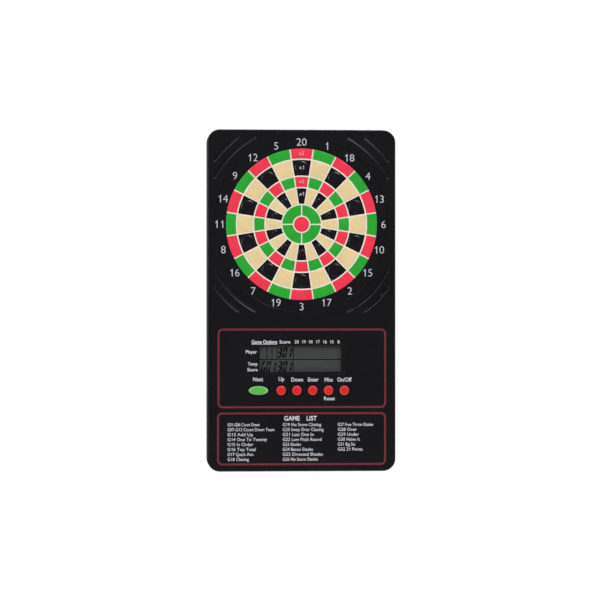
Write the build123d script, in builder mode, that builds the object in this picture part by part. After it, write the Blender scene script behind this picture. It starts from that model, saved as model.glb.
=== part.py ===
from build123d import *
import os
from math import acos, asin, atan2, cos, degrees, pi, radians, sin, tan

# A wall-hung dart scorer with a touch-sensitive printed board. It hangs upright: +X to the
# right, +Z up, and the front faces -Y. Depths are measured forwards from the flat back face,
# and the origin is on the back face, straight behind the bull's-eye. Millimetres.

# ---- Casing ------------------------------------------------------------------------------
CASE_WIDTH = 182.0
CASE_TOP = 91.4
CASE_BOTTOM = -238.6
CASE_CORNER = 12.0
CASE_DEPTH = 28.0
PARTING_DEPTH = 16.0
WALL = 2.2
FRONT_WALL = 2.5
FRONT_EDGE_ROUND = 1.1
BACK_EDGE_ROUND = 1.8
LIP_HEIGHT = 1.5
LIP_THICKNESS = 0.9
LIP_GAP = 0.2
PARTING_CHAMFER = 0.4
RIM_ROUND = 0.3

CASE_HEIGHT = CASE_TOP - CASE_BOTTOM
CASE_CENTRE = (CASE_TOP + CASE_BOTTOM) / 2
CEILING = CASE_DEPTH - FRONT_WALL

# ---- Round touch board -------------------------------------------------------------------
RECESS_RADIUS = 84.6
RECESS_FLOOR = 26.0
FLOOR_THICKNESS = 2.0
FLOOR_RADIUS = 88.5
FILM_RADIUS = 84.25
ADHESIVE = 0.15
CIRCUIT_FILM = 0.20
SPACER = 0.25
OVERLAY = 0.45
LINE_HEIGHT = 0.15
PAD_HEIGHT = 0.40

LOWER_FILM_DEPTH = RECESS_FLOOR + ADHESIVE
SPACER_DEPTH = LOWER_FILM_DEPTH + CIRCUIT_FILM
UPPER_FILM_DEPTH = SPACER_DEPTH + SPACER
OVERLAY_DEPTH = UPPER_FILM_DEPTH + CIRCUIT_FILM
PRINT_DEPTH = OVERLAY_DEPTH + OVERLAY

SECTORS = 20
SPOKE_WIDTH = 1.15
BULL_RADIUS = 7.3
OUTER_BULL = (8.5, 18.6)
BULL_CROSS_WIDTH = 1.0
INNER_SINGLE = (19.8, 34.85)
TREBLE = (36.05, 45.9)
OUTER_SINGLE = (47.1, 62.25)
DOUBLE = (63.5, 73.1)
# Holes in the spacer film, one under each zone: ring of zones and hole radius.
SPACER_HOLES = {INNER_SINGLE: 3.0, TREBLE: 3.6, OUTER_SINGLE: 6.0, DOUBLE: 3.8}
BULL_HOLE = 4.0
QUADRANT_HOLE = 3.4

# ---- Corner grooves and speaker slots ----------------------------------------------------
GROOVE_RADII = (95.1, 103.9)
GROOVE_WIDTH = 3.5
GROOVE_DEPTH = 1.1
# Radius of the round-nosed section that is this wide at the face and this deep
GROOVE_NOSE = ((GROOVE_WIDTH / 2) ** 2 + GROOVE_DEPTH**2) / (2 * GROOVE_DEPTH)
GROOVE_SQUARE = 171.0
SOUND_SLOT_WIDTH = 1.4
# Radius, then first and last angle below the horizontal on the right.
SOUND_SLOTS = ((95.2, 42.3, 58.2), (103.9, 42.5, 51.8))

# ---- Display -----------------------------------------------------------------------------
WINDOW_X = -0.15
WINDOW_Z = -130.8
WINDOW_SIZE = (82.5, 28.2)
WINDOW_CORNER = 1.0
WINDOW_THICKNESS = 1.5
WINDOW_SEAT = 26.3
WINDOW_GAP = 0.15
DISPLAY_X = -1.2
DISPLAY_Z = -129.85
DISPLAY_OPENING = (79.4, 25.3)
LCD_SIZE = (86.0, 33.4)
LCD_DEPTHS = (22.9, 25.3)
LCD_GAP = 0.2
LCD_HOLDER_SIZE = (90.4, 37.1)
LCD_HOLDER_WINDOW = (78.0, 22.0)
ZEBRA_SIZE = (74.0, 2.2)
ZEBRA_OFFSET = 14.45
ZEBRA_GAP = 0.1

# ---- Main board --------------------------------------------------------------------------
BOARD_X = (-60.0, 60.0)
BOARD_Z = (-172.0, -108.0)
BOARD_DEPTHS = (18.0, 19.6)
BOARD_SCREW_POINTS = ((-55.5, -112.5), (55.5, -112.5), (-55.5, -167.5), (55.5, -167.5))
BOARD_BOSS_RADIUS = 3.0
BOARD_PILOT_RADIUS = 1.1
BOARD_SCREW_RADIUS = 1.25
BOARD_HOLE_RADIUS = 1.5
BOARD_HEAD_RADIUS = 2.4
BOARD_HEAD_HEIGHT = 1.5
BOARD_CROSS = (2.6, 0.6)
BOARD_SCREW_TIP = 24.0
BOARD_PILOT_END = 24.5
BOARD_CORNER = 1.5
PROCESSOR_X = -14.0
PROCESSOR_Z = -147.0
PROCESSOR_RADIUS = 8.5
PROCESSOR_HEIGHT = 1.8
PROCESSOR_EDGE_ROUND = 1.6
CAPACITORS = ((24.0, -122.0), (33.0, -122.0))
CAPACITOR_RADIUS = 3.0
CAPACITOR_BACK = 10.5
CHIP_ROW_X = -38.0
CHIP_ROW_Z = -130.0
CHIP_PITCH = 4.5
CHIP_SIZE = (1.6, 3.2)
CHIP_HEIGHT = 0.8
CHIP_COUNT = 6
CRYSTAL = (8.0, -160.0)
CRYSTAL_SIZE = (10.0, 4.4)
CRYSTAL_HEIGHT = 3.4
CRYSTAL_CORNER = 2.0

# ---- Keys --------------------------------------------------------------------------------
KEY_Z = -160.4
OVAL_KEY_X = -41.7
OVAL_KEY_AXES = (9.4, 4.2)
ROUND_KEY_RADIUS = 4.55
ROUND_KEYS = {"key_up": -19.9, "key_down": -4.6, "key_enter": 10.7, "key_miss": 26.0, "key_power": 41.3}
KEY_CLEARANCE = 0.3
KEY_FLANGE_WIDTH = 1.3
KEY_FLANGE_DEPTHS = (23.9, 25.3)
KEY_TOP = 29.7
KEY_EDGE_ROUND = 1.0

MAT_X = (-50.0, 49.5)
MAT_Z = (-168.5, -153.5)
MAT_THICKNESS = 1.0
MAT_CORNER = 2.0
DOME_BASE_RADIUS = 5.0
DOME_TOP_RADIUS = 3.2
DOME_TOP = 23.8
DOME_CAVITY_BASE = 4.2
DOME_CAVITY_TOP = 2.7
DOME_CAVITY_DEPTH = 22.8
DOME_POST_RADIUS = 1.8
PILL_DEPTHS = (20.6, 21.4)

# ---- Speaker -----------------------------------------------------------------------------
SPEAKER_X = 64.0
SPEAKER_Z = -74.0
SPEAKER_RADIUS = 14.0
SPEAKER_RIB = (14.3, 15.9)
SPEAKER_RIB_BACK = 20.0
SPEAKER_FRONT = 23.9
SPEAKER_FLANGE = 1.0
SPEAKER_BASKET_BACK = 20.4
MAGNET_RADIUS = 7.2
MAGNET_BACK = 15.6
TERMINAL_X = (57.0, 62.5)
TERMINAL_Z = (-86.0, -82.5)
TERMINAL_DEPTHS = (19.85, 22.0)
BASKET_WALL = 0.8
BASKET_NECK = 1.0
CONE_THICKNESS = 0.4
CONE_EDGE_RADIUS = 12.6
CONE_EDGE_DEPTH = 23.3
CONE_EDGE_GAP = 0.1
CONE_WELL_RADIUS = 5.0
CONE_WELL_DEPTH = 21.9
DUST_CAP_RISE = 0.3
MAGNET_EDGE_ROUND = 0.6

# ---- Housing screws ----------------------------------------------------------------------
SCREW_X = 80.0
SCREW_Z = (80.0, -25.0, -130.0, -228.0)
BOSS_RADIUS = 5.2
FRONT_BOSS_RADIUS = 4.0
COUNTERBORE_RADIUS = 3.6
COUNTERBORE_DEPTH = 8.2
BACK_CHAMFER = 0.4
SCREW_CLEARANCE_RADIUS = 1.7
SCREW_RADIUS = 1.45
SCREW_PILOT_RADIUS = 1.25
SCREW_HEAD_RADIUS = 2.8
SCREW_HEAD_HEIGHT = 2.2
SCREW_HEAD_ROUND = 0.7
SCREW_POINT_RADIUS = 0.4
SCREW_POINT_LENGTH = 1.0
SCREW_CROSS = (3.2, 0.8)
SCREW_CROSS_DEPTH = 1.2
SCREW_TIP = 22.4
PILOT_END = 23.0
BOSS_GAP = 0.1

# ---- Wall keyholes -----------------------------------------------------------------------
KEYHOLE_X = 50.0
KEYHOLE_Z = 55.0
KEYHOLE_RADIUS = 4.5
KEYHOLE_SLOT_WIDTH = 4.4
KEYHOLE_SLOT_RISE = 9.0
POCKET_HALF_WIDTH = 6.5
POCKET_Z = (-6.5, 13.0)
POCKET_WALL = 1.3
POCKET_DEPTH = 8.0

# ---- Battery bay -------------------------------------------------------------------------
BAY_HALF_WIDTH = 29.6
BAY_Z = (-230.2, -183.4)
BAY_WALL = 1.6
BAY_FLOOR = 17.6
BAY_WALL_START = 3.5
CELL_RADIUS = 7.1
CELL_LENGTH = 50.5
CELL_NUB_RADIUS = 2.75
CELL_NUB_LENGTH = 1.3
CELL_PITCH = 15.2
CELL_DEPTH = 9.7
CONTACT_THICKNESS = 0.4
CONTACT_SIZE = 10.0
CONTACT_DIMPLE_RADIUS = 2.2
CONTACT_DIMPLE = 0.6
CONTACT_TAB_WIDTH = 3.0
CONTACT_TAB_END = 21.2
CONTACT_TAB_GAP = 0.15
CELL_EDGE_ROUND = 0.6
SPRING_RADII = (4.6, 3.2)
SPRING_WALL = 0.8
CELL_CENTRES = tuple((BAY_Z[0] + BAY_Z[1]) / 2 + step * CELL_PITCH for step in (1, 0, -1))

# ---- Battery door and its slides ---------------------------------------------------------
DOOR_HALF_WIDTH = 30.7
DOOR_TOP = -182.0
DOOR_THICKNESS = 2.0
DOOR_GAP = 0.3
DOOR_RIB_X = (28.9, 30.4)
DOOR_TONGUE_X = 32.6
DOOR_TONGUE_DEPTHS = (2.4, 3.3)
DOOR_RIB_TOP = -184.2
DOOR_LIP = 2.0
CHANNEL_X = 33.0
LEDGE_DEPTHS = (3.5, 4.7)
CHANNEL_WALL = 1.4
GRIP_GROOVES = 7
GRIP_PITCH = 2.6
GRIP_GROOVE = (24.0, 1.2, 0.7)
GRIP_TOP_Z = -213.0
ARROW_Z = -201.0
ARROW_SIZE = (9.0, 6.0)
ARROW_DEPTH = 0.5

# ---- Wires and membrane tail -------------------------------------------------------------
WIRE_RADIUS = 0.6
TAIL_HALF_WIDTH = 6.0
TAIL_THICKNESS = 0.12
TAIL_SLOT = (6.8, -81.0, -73.8)
TAIL_WINDOW = (7.0, -81.5, -70.0)
# Depth and height of each bend of the tail.
TAIL_ROUTE = ((26.08, -71.0), (26.08, -76.5), (22.0, -79.5), (16.3, -104.0), (16.3, -117.0))
CONNECTOR_HALF_WIDTH = 8.0
CONNECTOR_Z = (-120.0, -113.5)
CONNECTOR_BACK = 14.6
CONNECTOR_SLOT = 0.4

# Each route is (x, depth, z).
SPEAKER_WIRE_LEFT = ((58.3, 19.2, -84.4), (56.6, 18.1, -91.5), (52.6, 17.3, -98.6),
                     (48.6, 17.1, -105.2), (47.0, 17.35, -113.0))
SPEAKER_WIRE_RIGHT = ((61.0, 19.2, -84.4), (59.4, 18.0, -91.8), (55.4, 17.2, -99.2),
                      (51.6, 17.1, -105.6), (50.0, 17.35, -113.4))
RED_WIRE = ((28.55, 20.5, -222.0), (28.5, 20.6, -207.0), (26.4, 20.9, -192.5),
            (22.0, 20.7, -181.0), (19.5, 20.25, -169.8))
BLACK_WIRE = ((-28.55, 20.5, -191.6), (-27.4, 20.7, -184.8), (-23.6, 20.6, -178.4), (-21.5, 20.25, -170.0))

os.makedirs("parts", exist_ok=True)


# ---- Building helpers --------------------------------------------------------------------
def at_depth(depth):
    """Plane parallel to the wall, facing forwards, this far in front of the back face."""
    return Plane.XZ.offset(depth)


def turning_plane(x, z):
    """Plane through a front-to-back axis: local x is the radius and local y the depth."""
    return Plane(origin=(x, 0, z), x_dir=(1, 0, 0), z_dir=(0, 0, -1))


def turning_axis(x, z):
    """Front-to-back axis through a point of the board."""
    return Axis((x, 0, z), (0, -1, 0))


def case_outline(inset, depth):
    """Outline of the casing, this far inside its outer wall."""
    with BuildSketch(at_depth(depth)) as outline:
        with Locations((0, CASE_CENTRE)):
            RectangleRounded(CASE_WIDTH - 2 * inset, CASE_HEIGHT - 2 * inset, CASE_CORNER - inset)
    return outline.sketch


def block(xs, zs, depths, corner=0.0, mode=Mode.ADD):
    """Box between two widths, two heights and two depths, joined to the part being built."""
    with BuildSketch(at_depth(depths[0])) as profile:
        with Locations(((xs[0] + xs[1]) / 2, (zs[0] + zs[1]) / 2)):
            if corner > 0:
                RectangleRounded(xs[1] - xs[0], zs[1] - zs[0], corner)
            else:
                Rectangle(xs[1] - xs[0], zs[1] - zs[0])
    extrude(profile.sketch, amount=depths[1] - depths[0], mode=mode)


def centred_block(x, z, size, depths, corner=0.0, mode=Mode.ADD):
    """Box given by its centre and its width and height."""
    half_width = size[0] / 2
    half_height = size[1] / 2
    block((x - half_width, x + half_width), (z - half_height, z + half_height), depths, corner, mode)


def disk(x, z, radius, depths, mode=Mode.ADD):
    """Round bar along the depth, joined to the part being built."""
    with BuildSketch(at_depth(depths[0])) as profile:
        with Locations((x, z)):
            Circle(radius)
    extrude(profile.sketch, amount=depths[1] - depths[0], mode=mode)


def turned(x, z, points, mode=Mode.ADD):
    """Solid turned about a front-to-back axis from (radius, depth) points."""
    with BuildSketch(turning_plane(x, z)) as profile:
        with BuildLine():
            Polyline(*points, close=True)
        make_face()
    revolve(profile.sketch, axis=turning_axis(x, z), mode=mode)


def bend_radii(points):
    """Bend radius at each inner point: 0.45 of the shorter run over the tangent of half the turn."""
    radii = []
    for before, here, after in zip(points, points[1:], points[2:]):
        run_in = Vector(here) - Vector(before)
        run_out = Vector(after) - Vector(here)
        turn = acos(run_in.normalized().dot(run_out.normalized()))
        radii.append(0.45 * min(run_in.length, run_out.length) / tan(turn / 2))
    return radii


def wire(name, route):
    """Round insulated wire along a route of (x, depth, z) points: straight runs and arcs."""
    points = [(x, -depth, z) for x, depth, z in route]
    radii = bend_radii(points)
    with BuildLine() as path:
        FilletPolyline(*points, radius=radii)
    with BuildSketch(Plane(origin=path.wire() @ 0, z_dir=path.wire() % 0)) as section:
        Circle(WIRE_RADIUS)
    sweep(section.sketch, path=path.wire())
    length = path.wire().length
    volume = pi * WIRE_RADIUS**2 * length
    print(name, "length", round(length, 1), "volume", round(volume, 2), "radii", [round(r, 1) for r in radii])


def finish(part, name):
    """Label a finished piece and write it out."""
    part.label = name
    export_step(part, f"parts/{name}.step")


# ---- Touch board zones -------------------------------------------------------------------
def sector_of(face):
    """Number of the sector a zone lies in, clockwise from the top one."""
    centre = face.center()
    return round(degrees(atan2(centre.X, centre.Z)) / (360 / SECTORS)) % SECTORS


def ring_zones(ring, odd):
    """Every second zone of one ring, with gaps of constant width along the spokes."""
    with BuildSketch(at_depth(PRINT_DEPTH)) as zones:
        Circle(ring[1])
        Circle(ring[0], mode=Mode.SUBTRACT)
        with PolarLocations(0, SECTORS // 2, start_angle=180 / SECTORS, angular_range=180):
            Rectangle(2 * ring[1] + SPOKE_WIDTH, SPOKE_WIDTH, mode=Mode.SUBTRACT)
    return [face for face in zones.sketch.faces() if sector_of(face) % 2 == odd]


def quadrant_zones():
    """The four zones of the outer bull."""
    with BuildSketch(at_depth(PRINT_DEPTH)) as zones:
        Circle(OUTER_BULL[1])
        Circle(OUTER_BULL[0], mode=Mode.SUBTRACT)
        Rectangle(2 * OUTER_BULL[1] + 1, BULL_CROSS_WIDTH, mode=Mode.SUBTRACT)
        Rectangle(BULL_CROSS_WIDTH, 2 * OUTER_BULL[1] + 1, mode=Mode.SUBTRACT)
    return zones.sketch.faces()


def bull_zone():
    """The round zone in the middle."""
    with BuildSketch(at_depth(PRINT_DEPTH)) as zone:
        Circle(BULL_RADIUS)
    return zone.sketch.faces()


red_zones = bull_zone() + ring_zones(TREBLE, 0) + ring_zones(DOUBLE, 0)
green_zones = quadrant_zones() + ring_zones(TREBLE, 1) + ring_zones(DOUBLE, 1)
black_zones = ring_zones(INNER_SINGLE, 0) + ring_zones(OUTER_SINGLE, 0)
cream_zones = ring_zones(INNER_SINGLE, 1) + ring_zones(OUTER_SINGLE, 1)


def zone_pads(name, zones):
    """Raised pads of one colour."""
    with BuildPart() as pads:
        for zone in zones:
            extrude(zone, amount=PAD_HEIGHT)
    finish(pads.part, name)


zone_pads("pads_red", red_zones)
zone_pads("pads_green", green_zones)
zone_pads("pads_black", black_zones)
zone_pads("pads_cream", cream_zones)

with BuildPart() as overlay_lines:
    disk(0, 0, DOUBLE[1], (PRINT_DEPTH, PRINT_DEPTH + LINE_HEIGHT))
    for zone in red_zones + green_zones + black_zones + cream_zones:
        extrude(zone, amount=LINE_HEIGHT, mode=Mode.SUBTRACT)
finish(overlay_lines.part, "overlay_lines")


# ---- Films under the zones ---------------------------------------------------------------
def film(name, depth, thickness):
    """Plain round film."""
    with BuildPart() as sheet:
        disk(0, 0, FILM_RADIUS, (depth, depth + thickness))
    finish(sheet.part, name)


film("overlay_sheet", OVERLAY_DEPTH, OVERLAY)
film("upper_circuit_film", UPPER_FILM_DEPTH, CIRCUIT_FILM)
film("lower_circuit_film", LOWER_FILM_DEPTH, CIRCUIT_FILM)

with BuildPart() as spacer_film:
    disk(0, 0, FILM_RADIUS, (SPACER_DEPTH, UPPER_FILM_DEPTH))
    with BuildSketch(at_depth(SPACER_DEPTH)) as holes:
        Circle(BULL_HOLE)
        with PolarLocations((OUTER_BULL[0] + OUTER_BULL[1]) / 2, 4, start_angle=45):
            Circle(QUADRANT_HOLE)
        for ring, hole_radius in SPACER_HOLES.items():
            with PolarLocations((ring[0] + ring[1]) / 2, SECTORS, start_angle=90):
                Circle(min(hole_radius, pi * ring[0] / SECTORS - SPOKE_WIDTH / 2))
    extrude(holes.sketch, amount=SPACER, mode=Mode.SUBTRACT)
finish(spacer_film.part, "spacer_film")

with BuildPart() as adhesive_sheet:
    disk(0, 0, FILM_RADIUS, (RECESS_FLOOR, LOWER_FILM_DEPTH))
    block((-TAIL_WINDOW[0], TAIL_WINDOW[0]), TAIL_WINDOW[1:], (RECESS_FLOOR, LOWER_FILM_DEPTH),
          mode=Mode.SUBTRACT)
finish(adhesive_sheet.part, "adhesive_sheet")

with BuildPart() as membrane_tail:
    with BuildSketch(Plane.YZ.offset(-TAIL_HALF_WIDTH)) as tail_edge:
        tail_points = [(-depth, z) for depth, z in TAIL_ROUTE]
        with BuildLine() as tail_path:
            FilletPolyline(*tail_points, radius=bend_radii([(y, z, 0) for y, z in tail_points]))
        trace(line_width=TAIL_THICKNESS)
    extrude(amount=2 * TAIL_HALF_WIDTH)
finish(membrane_tail.part, "membrane_tail")

with BuildPart() as tail_connector:
    block((-CONNECTOR_HALF_WIDTH, CONNECTOR_HALF_WIDTH), CONNECTOR_Z, (CONNECTOR_BACK, BOARD_DEPTHS[0]))
    block((-TAIL_HALF_WIDTH - CONNECTOR_SLOT, TAIL_HALF_WIDTH + CONNECTOR_SLOT),
          (TAIL_ROUTE[-1][1], CONNECTOR_Z[1]),
          (TAIL_ROUTE[-1][0] - CONNECTOR_SLOT, TAIL_ROUTE[-1][0] + CONNECTOR_SLOT), mode=Mode.SUBTRACT)
finish(tail_connector.part, "tail_connector")


# ---- Front shell -------------------------------------------------------------------------
def curved_slot(radius, first, last, width, depth):
    """Outline of a curved slot with round ends, around the board's centre."""
    with BuildSketch(at_depth(depth)) as slot:
        with BuildLine() as centre_line:
            ThreePointArc(*[(radius * cos(radians(angle)), radius * sin(radians(angle)))
                            for angle in (first, (first + last) / 2, last)])
        SlotArc(centre_line.edge(), width)
    return slot.sketch


def cut_corner_groove(radius, quarter):
    """Round-nosed groove in one corner: its round ends touch the sides of the groove square."""
    reach = degrees(asin((GROOVE_SQUARE - GROOVE_WIDTH) / 2 / radius))
    first = radians(90 * quarter + 90 - reach)
    last = radians(90 * quarter + reach)
    nose_depth = CASE_DEPTH - GROOVE_DEPTH + GROOVE_NOSE
    across = Plane(origin=(0, 0, 0), x_dir=(cos(first), 0, sin(first)), z_dir=(sin(first), 0, -cos(first)))
    with BuildSketch(across) as section:
        with Locations((radius, nose_depth)):
            Circle(GROOVE_NOSE)
    revolve(section.sketch, axis=turning_axis(0, 0), revolution_arc=degrees(last - first), mode=Mode.SUBTRACT)
    with Locations(*[(radius * cos(angle), -nose_depth, radius * sin(angle)) for angle in (first, last)]):
        Sphere(GROOVE_NOSE, mode=Mode.SUBTRACT)


def edges_at(edges, depth):
    """The edges that lie flat at one depth."""
    return edges.filter_by_position(Axis.Y, -depth, -depth)


with BuildPart() as front_shell:
    extrude(case_outline(0, PARTING_DEPTH), amount=CASE_DEPTH - PARTING_DEPTH)
    fillet(front_shell.faces().sort_by(Axis.Y)[0].edges(), radius=FRONT_EDGE_ROUND)
    chamfer(front_shell.faces().sort_by(Axis.Y)[-1].edges(), length=PARTING_CHAMFER)
    extrude(case_outline(WALL, PARTING_DEPTH), amount=CEILING - PARTING_DEPTH, mode=Mode.SUBTRACT)
    # Lip that fits inside the rear shell
    extrude(case_outline(WALL - LIP_THICKNESS, PARTING_DEPTH - LIP_HEIGHT),
            amount=LIP_HEIGHT + LIP_THICKNESS)
    extrude(case_outline(WALL, PARTING_DEPTH - LIP_HEIGHT), amount=LIP_HEIGHT + LIP_THICKNESS,
            mode=Mode.SUBTRACT)
    # Floor and wall of the round recess
    disk(0, 0, FLOOR_RADIUS, (RECESS_FLOOR - FLOOR_THICKNESS, CEILING))
    disk(0, 0, RECESS_RADIUS, (RECESS_FLOOR, CASE_DEPTH), Mode.SUBTRACT)
    fillet(edges_at(front_shell.edges(Select.LAST), CASE_DEPTH), radius=RIM_ROUND)
    block((-TAIL_SLOT[0], TAIL_SLOT[0]), TAIL_SLOT[1:], (RECESS_FLOOR - FLOOR_THICKNESS, RECESS_FLOOR),
          mode=Mode.SUBTRACT)
    # Corner grooves, and the slots in front of the speaker
    for groove_radius in GROOVE_RADII:
        for quarter in range(4):
            cut_corner_groove(groove_radius, quarter)
    for slot_radius, first_angle, last_angle in SOUND_SLOTS:
        extrude(curved_slot(slot_radius, -first_angle, -last_angle, SOUND_SLOT_WIDTH, CEILING),
                amount=FRONT_WALL, mode=Mode.SUBTRACT)
    # Window seat and the opening over the display
    centred_block(WINDOW_X, WINDOW_Z, (WINDOW_SIZE[0] + 2 * WINDOW_GAP, WINDOW_SIZE[1] + 2 * WINDOW_GAP),
                  (WINDOW_SEAT, CASE_DEPTH), WINDOW_CORNER + WINDOW_GAP, Mode.SUBTRACT)
    fillet(edges_at(front_shell.edges(Select.LAST), CASE_DEPTH), radius=RIM_ROUND)
    centred_block(DISPLAY_X, DISPLAY_Z, DISPLAY_OPENING, (CEILING, WINDOW_SEAT), mode=Mode.SUBTRACT)
    # Key holes
    with BuildSketch(at_depth(CEILING)) as key_holes:
        with Locations((OVAL_KEY_X, KEY_Z)):
            Ellipse(OVAL_KEY_AXES[0] + KEY_CLEARANCE, OVAL_KEY_AXES[1] + KEY_CLEARANCE)
        with Locations(*[(x, KEY_Z) for x in ROUND_KEYS.values()]):
            Circle(ROUND_KEY_RADIUS + KEY_CLEARANCE)
    extrude(amount=FRONT_WALL, mode=Mode.SUBTRACT)
    fillet(edges_at(front_shell.edges(Select.LAST), CASE_DEPTH), radius=RIM_ROUND)
    # Bosses for the board, the housing screws and the speaker ring
    for boss_x, boss_z in BOARD_SCREW_POINTS:
        disk(boss_x, boss_z, BOARD_BOSS_RADIUS, (BOARD_DEPTHS[1], CEILING))
        disk(boss_x, boss_z, BOARD_PILOT_RADIUS, (BOARD_DEPTHS[1], BOARD_PILOT_END), Mode.SUBTRACT)
    for side in (-1, 1):
        for boss_z in SCREW_Z:
            disk(side * SCREW_X, boss_z, FRONT_BOSS_RADIUS, (PARTING_DEPTH, CEILING))
            disk(side * SCREW_X, boss_z, SCREW_PILOT_RADIUS, (PARTING_DEPTH, PILOT_END), Mode.SUBTRACT)
    with BuildSketch(at_depth(SPEAKER_RIB_BACK)) as speaker_rib:
        with Locations((SPEAKER_X, SPEAKER_Z)):
            Circle(SPEAKER_RIB[1])
            Circle(SPEAKER_RIB[0], mode=Mode.SUBTRACT)
    extrude(amount=CEILING - SPEAKER_RIB_BACK)
finish(front_shell.part, "front_shell")


# ---- Rear shell --------------------------------------------------------------------------
def keyhole(x, depth):
    """Round entry with a narrow slot above it."""
    with BuildSketch(at_depth(depth)) as outline:
        with Locations((x, KEYHOLE_Z)):
            Circle(KEYHOLE_RADIUS)
        with Locations((x, KEYHOLE_Z + KEYHOLE_SLOT_RISE / 2)):
            Rectangle(KEYHOLE_SLOT_WIDTH, KEYHOLE_SLOT_RISE)
        with Locations((x, KEYHOLE_Z + KEYHOLE_SLOT_RISE)):
            Circle(KEYHOLE_SLOT_WIDTH / 2)
    return outline.sketch


with BuildPart() as rear_shell:
    extrude(case_outline(0, 0), amount=PARTING_DEPTH)
    fillet(rear_shell.faces().sort_by(Axis.Y)[-1].edges(), radius=BACK_EDGE_ROUND)
    chamfer(rear_shell.faces().sort_by(Axis.Y)[0].edges(), length=PARTING_CHAMFER)
    extrude(case_outline(WALL, WALL), amount=PARTING_DEPTH - WALL, mode=Mode.SUBTRACT)
    # Step that takes the front shell's lip
    extrude(case_outline(WALL - LIP_THICKNESS - LIP_GAP, PARTING_DEPTH - LIP_HEIGHT - LIP_GAP),
            amount=LIP_HEIGHT + LIP_GAP, mode=Mode.SUBTRACT)
    # Screw bosses, counterbored from the back
    for side in (-1, 1):
        for boss_z in SCREW_Z:
            disk(side * SCREW_X, boss_z, BOSS_RADIUS, (WALL, PARTING_DEPTH - BOSS_GAP))
            disk(side * SCREW_X, boss_z, COUNTERBORE_RADIUS, (0, COUNTERBORE_DEPTH), Mode.SUBTRACT)
            chamfer(edges_at(rear_shell.edges(Select.LAST), 0), length=BACK_CHAMFER)
            disk(side * SCREW_X, boss_z, SCREW_CLEARANCE_RADIUS, (COUNTERBORE_DEPTH, PARTING_DEPTH),
                 Mode.SUBTRACT)
    # Keyholes with a closed pocket behind each
    for side in (-1, 1):
        pocket_x = (side * KEYHOLE_X - POCKET_HALF_WIDTH, side * KEYHOLE_X + POCKET_HALF_WIDTH)
        pocket_z = (KEYHOLE_Z + POCKET_Z[0], KEYHOLE_Z + POCKET_Z[1])
        block(pocket_x, pocket_z, (WALL, POCKET_DEPTH))
        block((pocket_x[0] + POCKET_WALL, pocket_x[1] - POCKET_WALL),
              (pocket_z[0] + POCKET_WALL, pocket_z[1] - POCKET_WALL),
              (WALL, POCKET_DEPTH - POCKET_WALL), mode=Mode.SUBTRACT)
        extrude(keyhole(side * KEYHOLE_X, 0), amount=WALL, mode=Mode.SUBTRACT)
        chamfer(edges_at(rear_shell.edges(Select.LAST), 0), length=BACK_CHAMFER)
    # Battery bay: side walls, ends and floor, then the slides for the door
    bay_outer = BAY_HALF_WIDTH + BAY_WALL
    block((-bay_outer, bay_outer), (BAY_Z[0] - BAY_WALL, BAY_Z[1] + BAY_WALL),
          (BAY_WALL_START, BAY_FLOOR + BAY_WALL))
    for side in (-1, 1):
        channel = sorted((side * BAY_HALF_WIDTH, side * (CHANNEL_X + CHANNEL_WALL)))
        channel_side = sorted((side * CHANNEL_X, side * (CHANNEL_X + CHANNEL_WALL)))
        block(channel, (CASE_BOTTOM + WALL, DOOR_TOP + DOOR_GAP), LEDGE_DEPTHS)
        block(channel_side, (CASE_BOTTOM + WALL, BAY_Z[1] + BAY_WALL), (WALL, LEDGE_DEPTHS[1]))
        block(channel, (BAY_Z[1], BAY_Z[1] + BAY_WALL), (WALL, LEDGE_DEPTHS[0]))
    block((-bay_outer, bay_outer), (BAY_Z[1], BAY_Z[1] + BAY_WALL), (WALL, BAY_WALL_START))
    block((-BAY_HALF_WIDTH, BAY_HALF_WIDTH), BAY_Z, (BAY_WALL_START, BAY_FLOOR), mode=Mode.SUBTRACT)
    # Door opening in the back wall, and the notch in the bottom wall
    block((-DOOR_HALF_WIDTH - DOOR_GAP, DOOR_HALF_WIDTH + DOOR_GAP), (CASE_BOTTOM, DOOR_TOP + DOOR_GAP / 2),
          (0, WALL), mode=Mode.SUBTRACT)
    block((-CHANNEL_X, CHANNEL_X), (CASE_BOTTOM, CASE_BOTTOM + WALL), (WALL, LEDGE_DEPTHS[0]),
          mode=Mode.SUBTRACT)
    # Slots for the two solder tabs of the contacts
    for tab_x, tab_z in ((BAY_HALF_WIDTH, CELL_CENTRES[2]), (-BAY_HALF_WIDTH, CELL_CENTRES[0])):
        tab_slot = (2 * (CONTACT_THICKNESS + CONTACT_TAB_GAP), CONTACT_TAB_WIDTH + 2 * CONTACT_TAB_GAP)
        centred_block(tab_x, tab_z, tab_slot, (BAY_FLOOR, BAY_FLOOR + BAY_WALL), mode=Mode.SUBTRACT)
finish(rear_shell.part, "rear_shell")


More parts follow.
